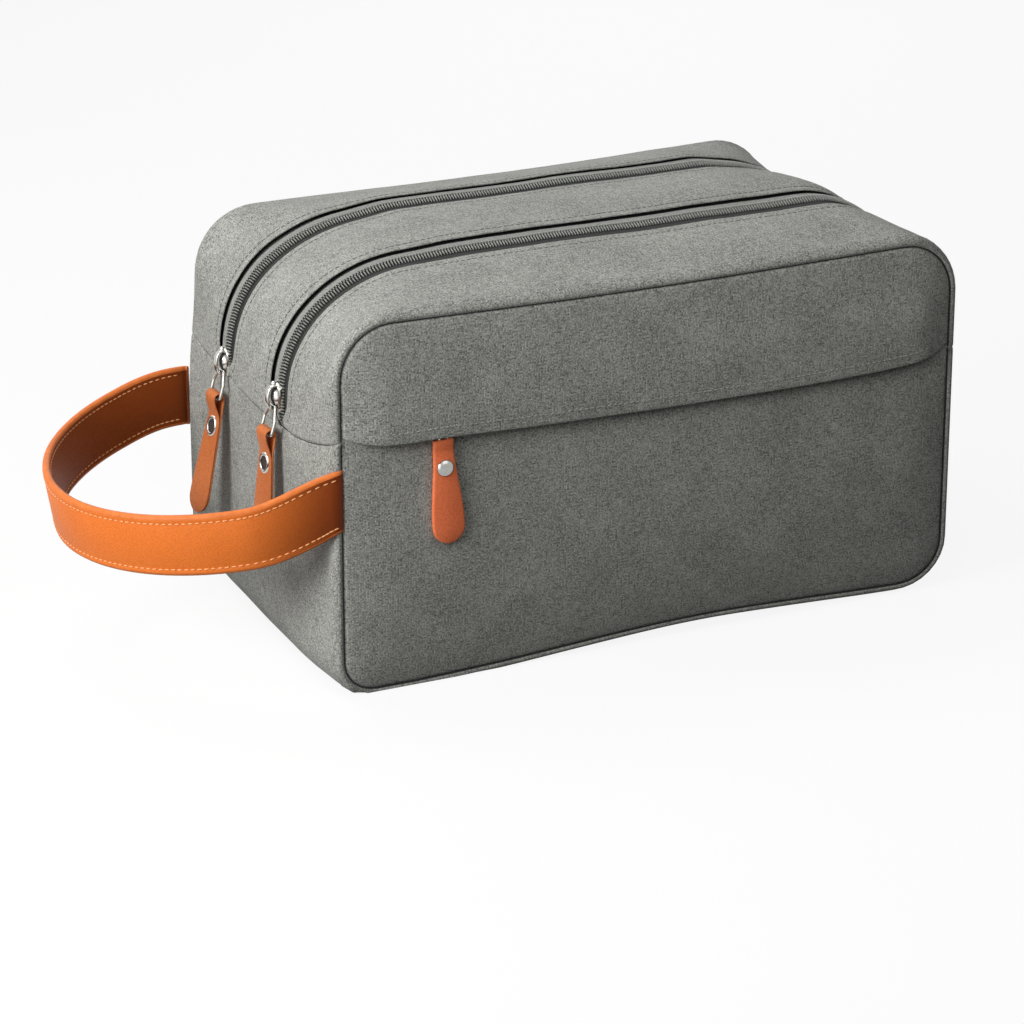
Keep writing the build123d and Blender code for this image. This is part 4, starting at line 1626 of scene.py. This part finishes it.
across = Vector((cos(POCKET_TURN), 0, sin(POCKET_TURN)))
downs = [-1.4 * MM] + [POCKET_TIP * k / 40 for k in range(40)]
downs += [POCKET_TIP - 0.5 * MM, POCKET_TIP - 0.02 * MM]
line = []
for down in downs:
    below = max(down, 0.0)
    depth = pocket_out(below)
    slope = (pocket_out(below + NUDGE) - depth) / NUDGE
    half = max(pocket_half(below), POCKET_HALF_THICK + 0.05 * MM)
    out = Vector((0, -1, -slope)).normalized()
    line.append((pocket_spot(down, depth), across, out, stadium(half, POCKET_HALF_THICK)))
strip = sweep("pocket_leather_strip", line)
# The pocket's strip takes the brighter copy of the pull leather, which is painted light.
finish_piece(strip, "pocket_pull", "pull_leather", LIT_POCKET_LEATHER, "pocket_zip_pull")
rivet = pressed_cap("pocket_rivet", CAP_RADIUS, DOME_STEPS)
spot = pocket_spot(POCKET_EYE, pocket_out(POCKET_EYE) - 0.85 * MM)
rivet.data.transform(turn_to(Vector((1, 0, 0)), Vector((0, -1, 0)), spot))
# The rivet takes the darker copy of the nickel, which is painted shade.
finish_piece(rivet, "pocket_pull", "nickel", SHADED_RIVET_NICKEL, "pocket_zip_pull_rivet")

# %% [markdown]
# ## Handle
# The handle is a doubled leather strap, bent round into a loop and sewn into both seams of the left end. It hangs
# a little under level. Its edges are painted smooth, and light thread runs along both edges in shallow grooves. It
# bends where it leaves the bag.

# %% Strap
HINGE = Vector(JOINTS["handle_swing"]["pos_m"])
DROOP = radians(9.6)
LOOP_DEPTH = 83 * MM
LOOP_SIDE = 78.7 * MM
STRAP_HALF = 12.5 * MM
STRAP_THICK = 1.5 * MM
GROOVE_AT = STRAP_HALF - 3.0 * MM
STRAP_SHIFT = 0.054
FRONT_SHIFT = 0.068
LOOP_SAG = 1.5 * MM
ROOT_IN = 1.1 * MM
BEND_REACH = 36 * MM
SQUARE_REACH = 16 * MM
THIN_REACH = 4 * MM
LOOP_STEPS = 170
NEARBY = 0.0008
SHARES = [0.5 - 0.5 * cos(pi * k / LOOP_STEPS) for k in range(LOOP_STEPS + 1)]


def strap_frame(share):
    """Centre and directions of the strap; share runs from the front root (0) to the rear (1)."""
    angle = pi * (share - 0.5)
    reach = LOOP_DEPTH * cos(angle)
    flare = 2.2 * MM * fade(reach, 4) - 1.4 * MM * fade(reach, 0.7)
    y = LOOP_SIDE * sin(angle) + copysign(flare, angle)
    bend = sin(min(1.0, reach / BEND_REACH) * pi / 2)
    down = DROOP * bend
    shift = (STRAP_SHIFT if y > 0 else FRONT_SHIFT) * y
    z = HINGE.z - reach * sin(down) - shift * (1 - bend) - LOOP_SAG * bend
    centre = Vector((HINGE.x + ROOT_IN - reach * cos(down), y, z))
    up = Vector((-sin(down), 0, cos(down)))
    return centre, up


def near_root(share, reach):
    """0 at both of the strap's roots, 1 from that reach on."""
    return step(LOOP_DEPTH * sin(pi * share) / reach)


def strap_station(share):
    """The strap's middle, ahead, up and out there; its section stays upright by the roots."""
    centre, up = strap_frame(share)
    before, after = (strap_frame(min(max(at, 0), 1))[0] for at in (share - NEARBY, share + NEARBY))
    ahead = (after - before).normalized()
    square = near_root(share, SQUARE_REACH)
    up = (up - ahead * up.dot(ahead) * square).normalized()
    out = up.cross(ahead).normalized()
    out = out if out.dot(centre - Vector((HINGE.x, 0, HINGE.z))) > 0 else -out
    return centre, ahead, up, out


def strap_section(thin):
    """Round the strap: flat faces with two stitch grooves each, and rounded edges."""
    flat = STRAP_HALF - STRAP_THICK
    groove_marks = [[side * GROOVE_AT + d * MM for d in (-0.6, 0, 0.6)] for side in (-1, 1)]
    marks = [-flat] + groove_marks[0] + [0.0] + groove_marks[1] + [flat]
    points = []
    for side in (1, -1):
        for mark in marks:
            groove = 0.22 * MM * bell(abs(mark) - GROOVE_AT, 0, 0.35)
            points.append((side * mark, side * (STRAP_THICK - groove) * thin))
        for k in range(1, 6):
            a = pi / 2 - pi * k / 6
            points.append((side * (flat + STRAP_THICK * cos(a)), side * STRAP_THICK * sin(a) * thin))
    return points


stations = [strap_station(share) for share in SHARES]
line = []
for share, (centre, ahead, up, out) in zip(SHARES, stations):
    line.append((centre, up, out, strap_section(0.6 + 0.4 * near_root(share, THIN_REACH))))
strap = sweep("handle_strap", line)

# %% Paint the strap's faces
for finish in (HANDLE_LEATHER, EDGE_PAINT, INNER_SHADED_LEATHER):
    strap.data.materials.append(finish)
centres = np.array([centre for centre, ahead, up, out in stations])
outs = np.array([out for centre, ahead, up, out in stations])
strap_uv = strap.data.uv_layers[0].data
edge_from = STRAP_HALF - STRAP_THICK + 0.2 * MM
for polygon in strap.data.polygons:
    gap = np.array(polygon.center) - centres
    nearest = int(np.argmin((gap**2).sum(axis=1)))
    across = abs(sum(strap_uv[k].uv[1] for k in polygon.loop_indices)) / polygon.loop_total
    # Faces turned into the loop take the dark copy of the leather, which is painted shade.
    inner = float(np.array(polygon.normal) @ outs[nearest]) < 0
    polygon.material_index = 1 if across > edge_from else 2 if inner else 0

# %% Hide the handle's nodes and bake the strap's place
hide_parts("handle_outer", "handle_lining", "handle_end_front", "handle_end_rear")
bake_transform(strap)
print("made", strap.name, len(strap.data.polygons), "faces")

# %% Handle stitching
STRAP_STITCH = bead("strap_stitch", 2.05 * MM, 0.55 * MM, 0.5 * MM, 8, 5)
STRAP_PITCH = 2.6 * MM
ON_FACE = STRAP_THICK - 0.04 * MM
lengths = np.concatenate([[0.0], np.cumsum(np.linalg.norm(np.diff(centres, axis=0), axis=1))])
frames = []
for index in range(int((lengths[-1] - 6 * MM) / STRAP_PITCH)):
    share = float(np.interp(3 * MM + STRAP_PITCH * index, lengths, SHARES))
    centre, ahead, up, out = strap_station(share)
    upright = (up - ahead * up.dot(ahead)).normalized()
    for edge in (-1, 1):
        for face in (-1, 1):
            point = centre + up * edge * GROOVE_AT + out * face * ON_FACE
            frames.append((point, ahead, upright, out))
stitches = repeat_piece("handle_stitches", STRAP_STITCH, frames)
stitches.data.materials.append(TAN_THREAD)
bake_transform(stitches)
drop_template(STRAP_STITCH)
print("made", stitches.name, len(frames), "stitches; the strap is", round(lengths[-1], 4), "m long")

# %% [markdown]
# ## Floor, backdrop and light
# The floor is plain and pale, and it keeps the bag's soft shadow. It and the world look bright
# but give little light themselves. The key lamp stands to the left and a little to the front,
# and four weaker lamps light the top, the left end's foot and the rear.

# %% Floor
SHADOW_SHARE = 0.11
bpy.ops.object.select_all(action="DESELECT")
bpy.ops.mesh.primitive_plane_add(size=12, location=(0, 0, -0.0002))
floor_piece = name_new("floor")
only(floor_piece)
bpy.ops.object.transform_apply(location=True)
material, tree, shader = new_material("pale_floor")
shader.inputs["Base Color"].default_value = (0.9, 0.9, 0.9, 1)
shader.inputs["Roughness"].default_value = 0.9
glow = node(tree, "ShaderNodeEmission", Color=(1, 1, 1, 1), Strength=1.0)
dull = node(tree, "ShaderNodeBsdfDiffuse", Color=(0.05, 0.05, 0.05, 1))
seen = node(
    tree, "ShaderNodeMixShader", Fac=SHADOW_SHARE, i1=glow.outputs[0], i2=shader.outputs[0])
final = node(
    tree, "ShaderNodeMixShader", Fac=seen_directly(tree), i1=dull.outputs[0], i2=seen.outputs[0])
tree.links.new(final.outputs[0], tree.nodes["Material Output"].inputs["Surface"])
floor_piece.data.materials.append(material)

# %% World
WORLD_LIGHT = 0.035
world = bpy.data.worlds.new("studio")
bpy.context.scene.world = world
world.use_nodes = True
tree = world.node_tree
background = tree.nodes["Background"]
strength = ramp(tree, seen_directly(tree), WORLD_LIGHT, 1.0)
tree.links.new(strength, background.inputs["Strength"])
background.inputs["Color"].default_value = (1, 1, 1, 1)


# %% Lamps


def soft_lamp(name, place, aim, size, power):
    data = bpy.data.lights.new(name, "AREA")
    data.size = size
    data.energy = power
    lamp = bpy.data.objects.new(name, data)
    bpy.context.scene.collection.objects.link(lamp)
    lamp.location = place
    lamp.rotation_euler = (Vector(aim) - Vector(place)).to_track_quat("-Z", "Y").to_euler()
    return lamp


AIM = (0, 0, 0.09)
LAMPS = (
    ("left_key", (-1.10, -0.30, 0.55), 0.5, 11.0),
    ("low_left", (-0.45, -0.25, 0.15), 0.4, 0.65),
    ("top_rear", (-0.30, 0.30, 0.80), 0.4, 3.2),
    ("top_front", (0.0, -0.35, 0.45), 0.4, 0.68),
    ("back_fill", (0.50, 0.90, 0.50), 0.6, 2.0),
)
for name, place, size, power in LAMPS:
    soft_lamp(name, place, AIM, size, power)
print("lit by", len(LAMPS), "lamps")
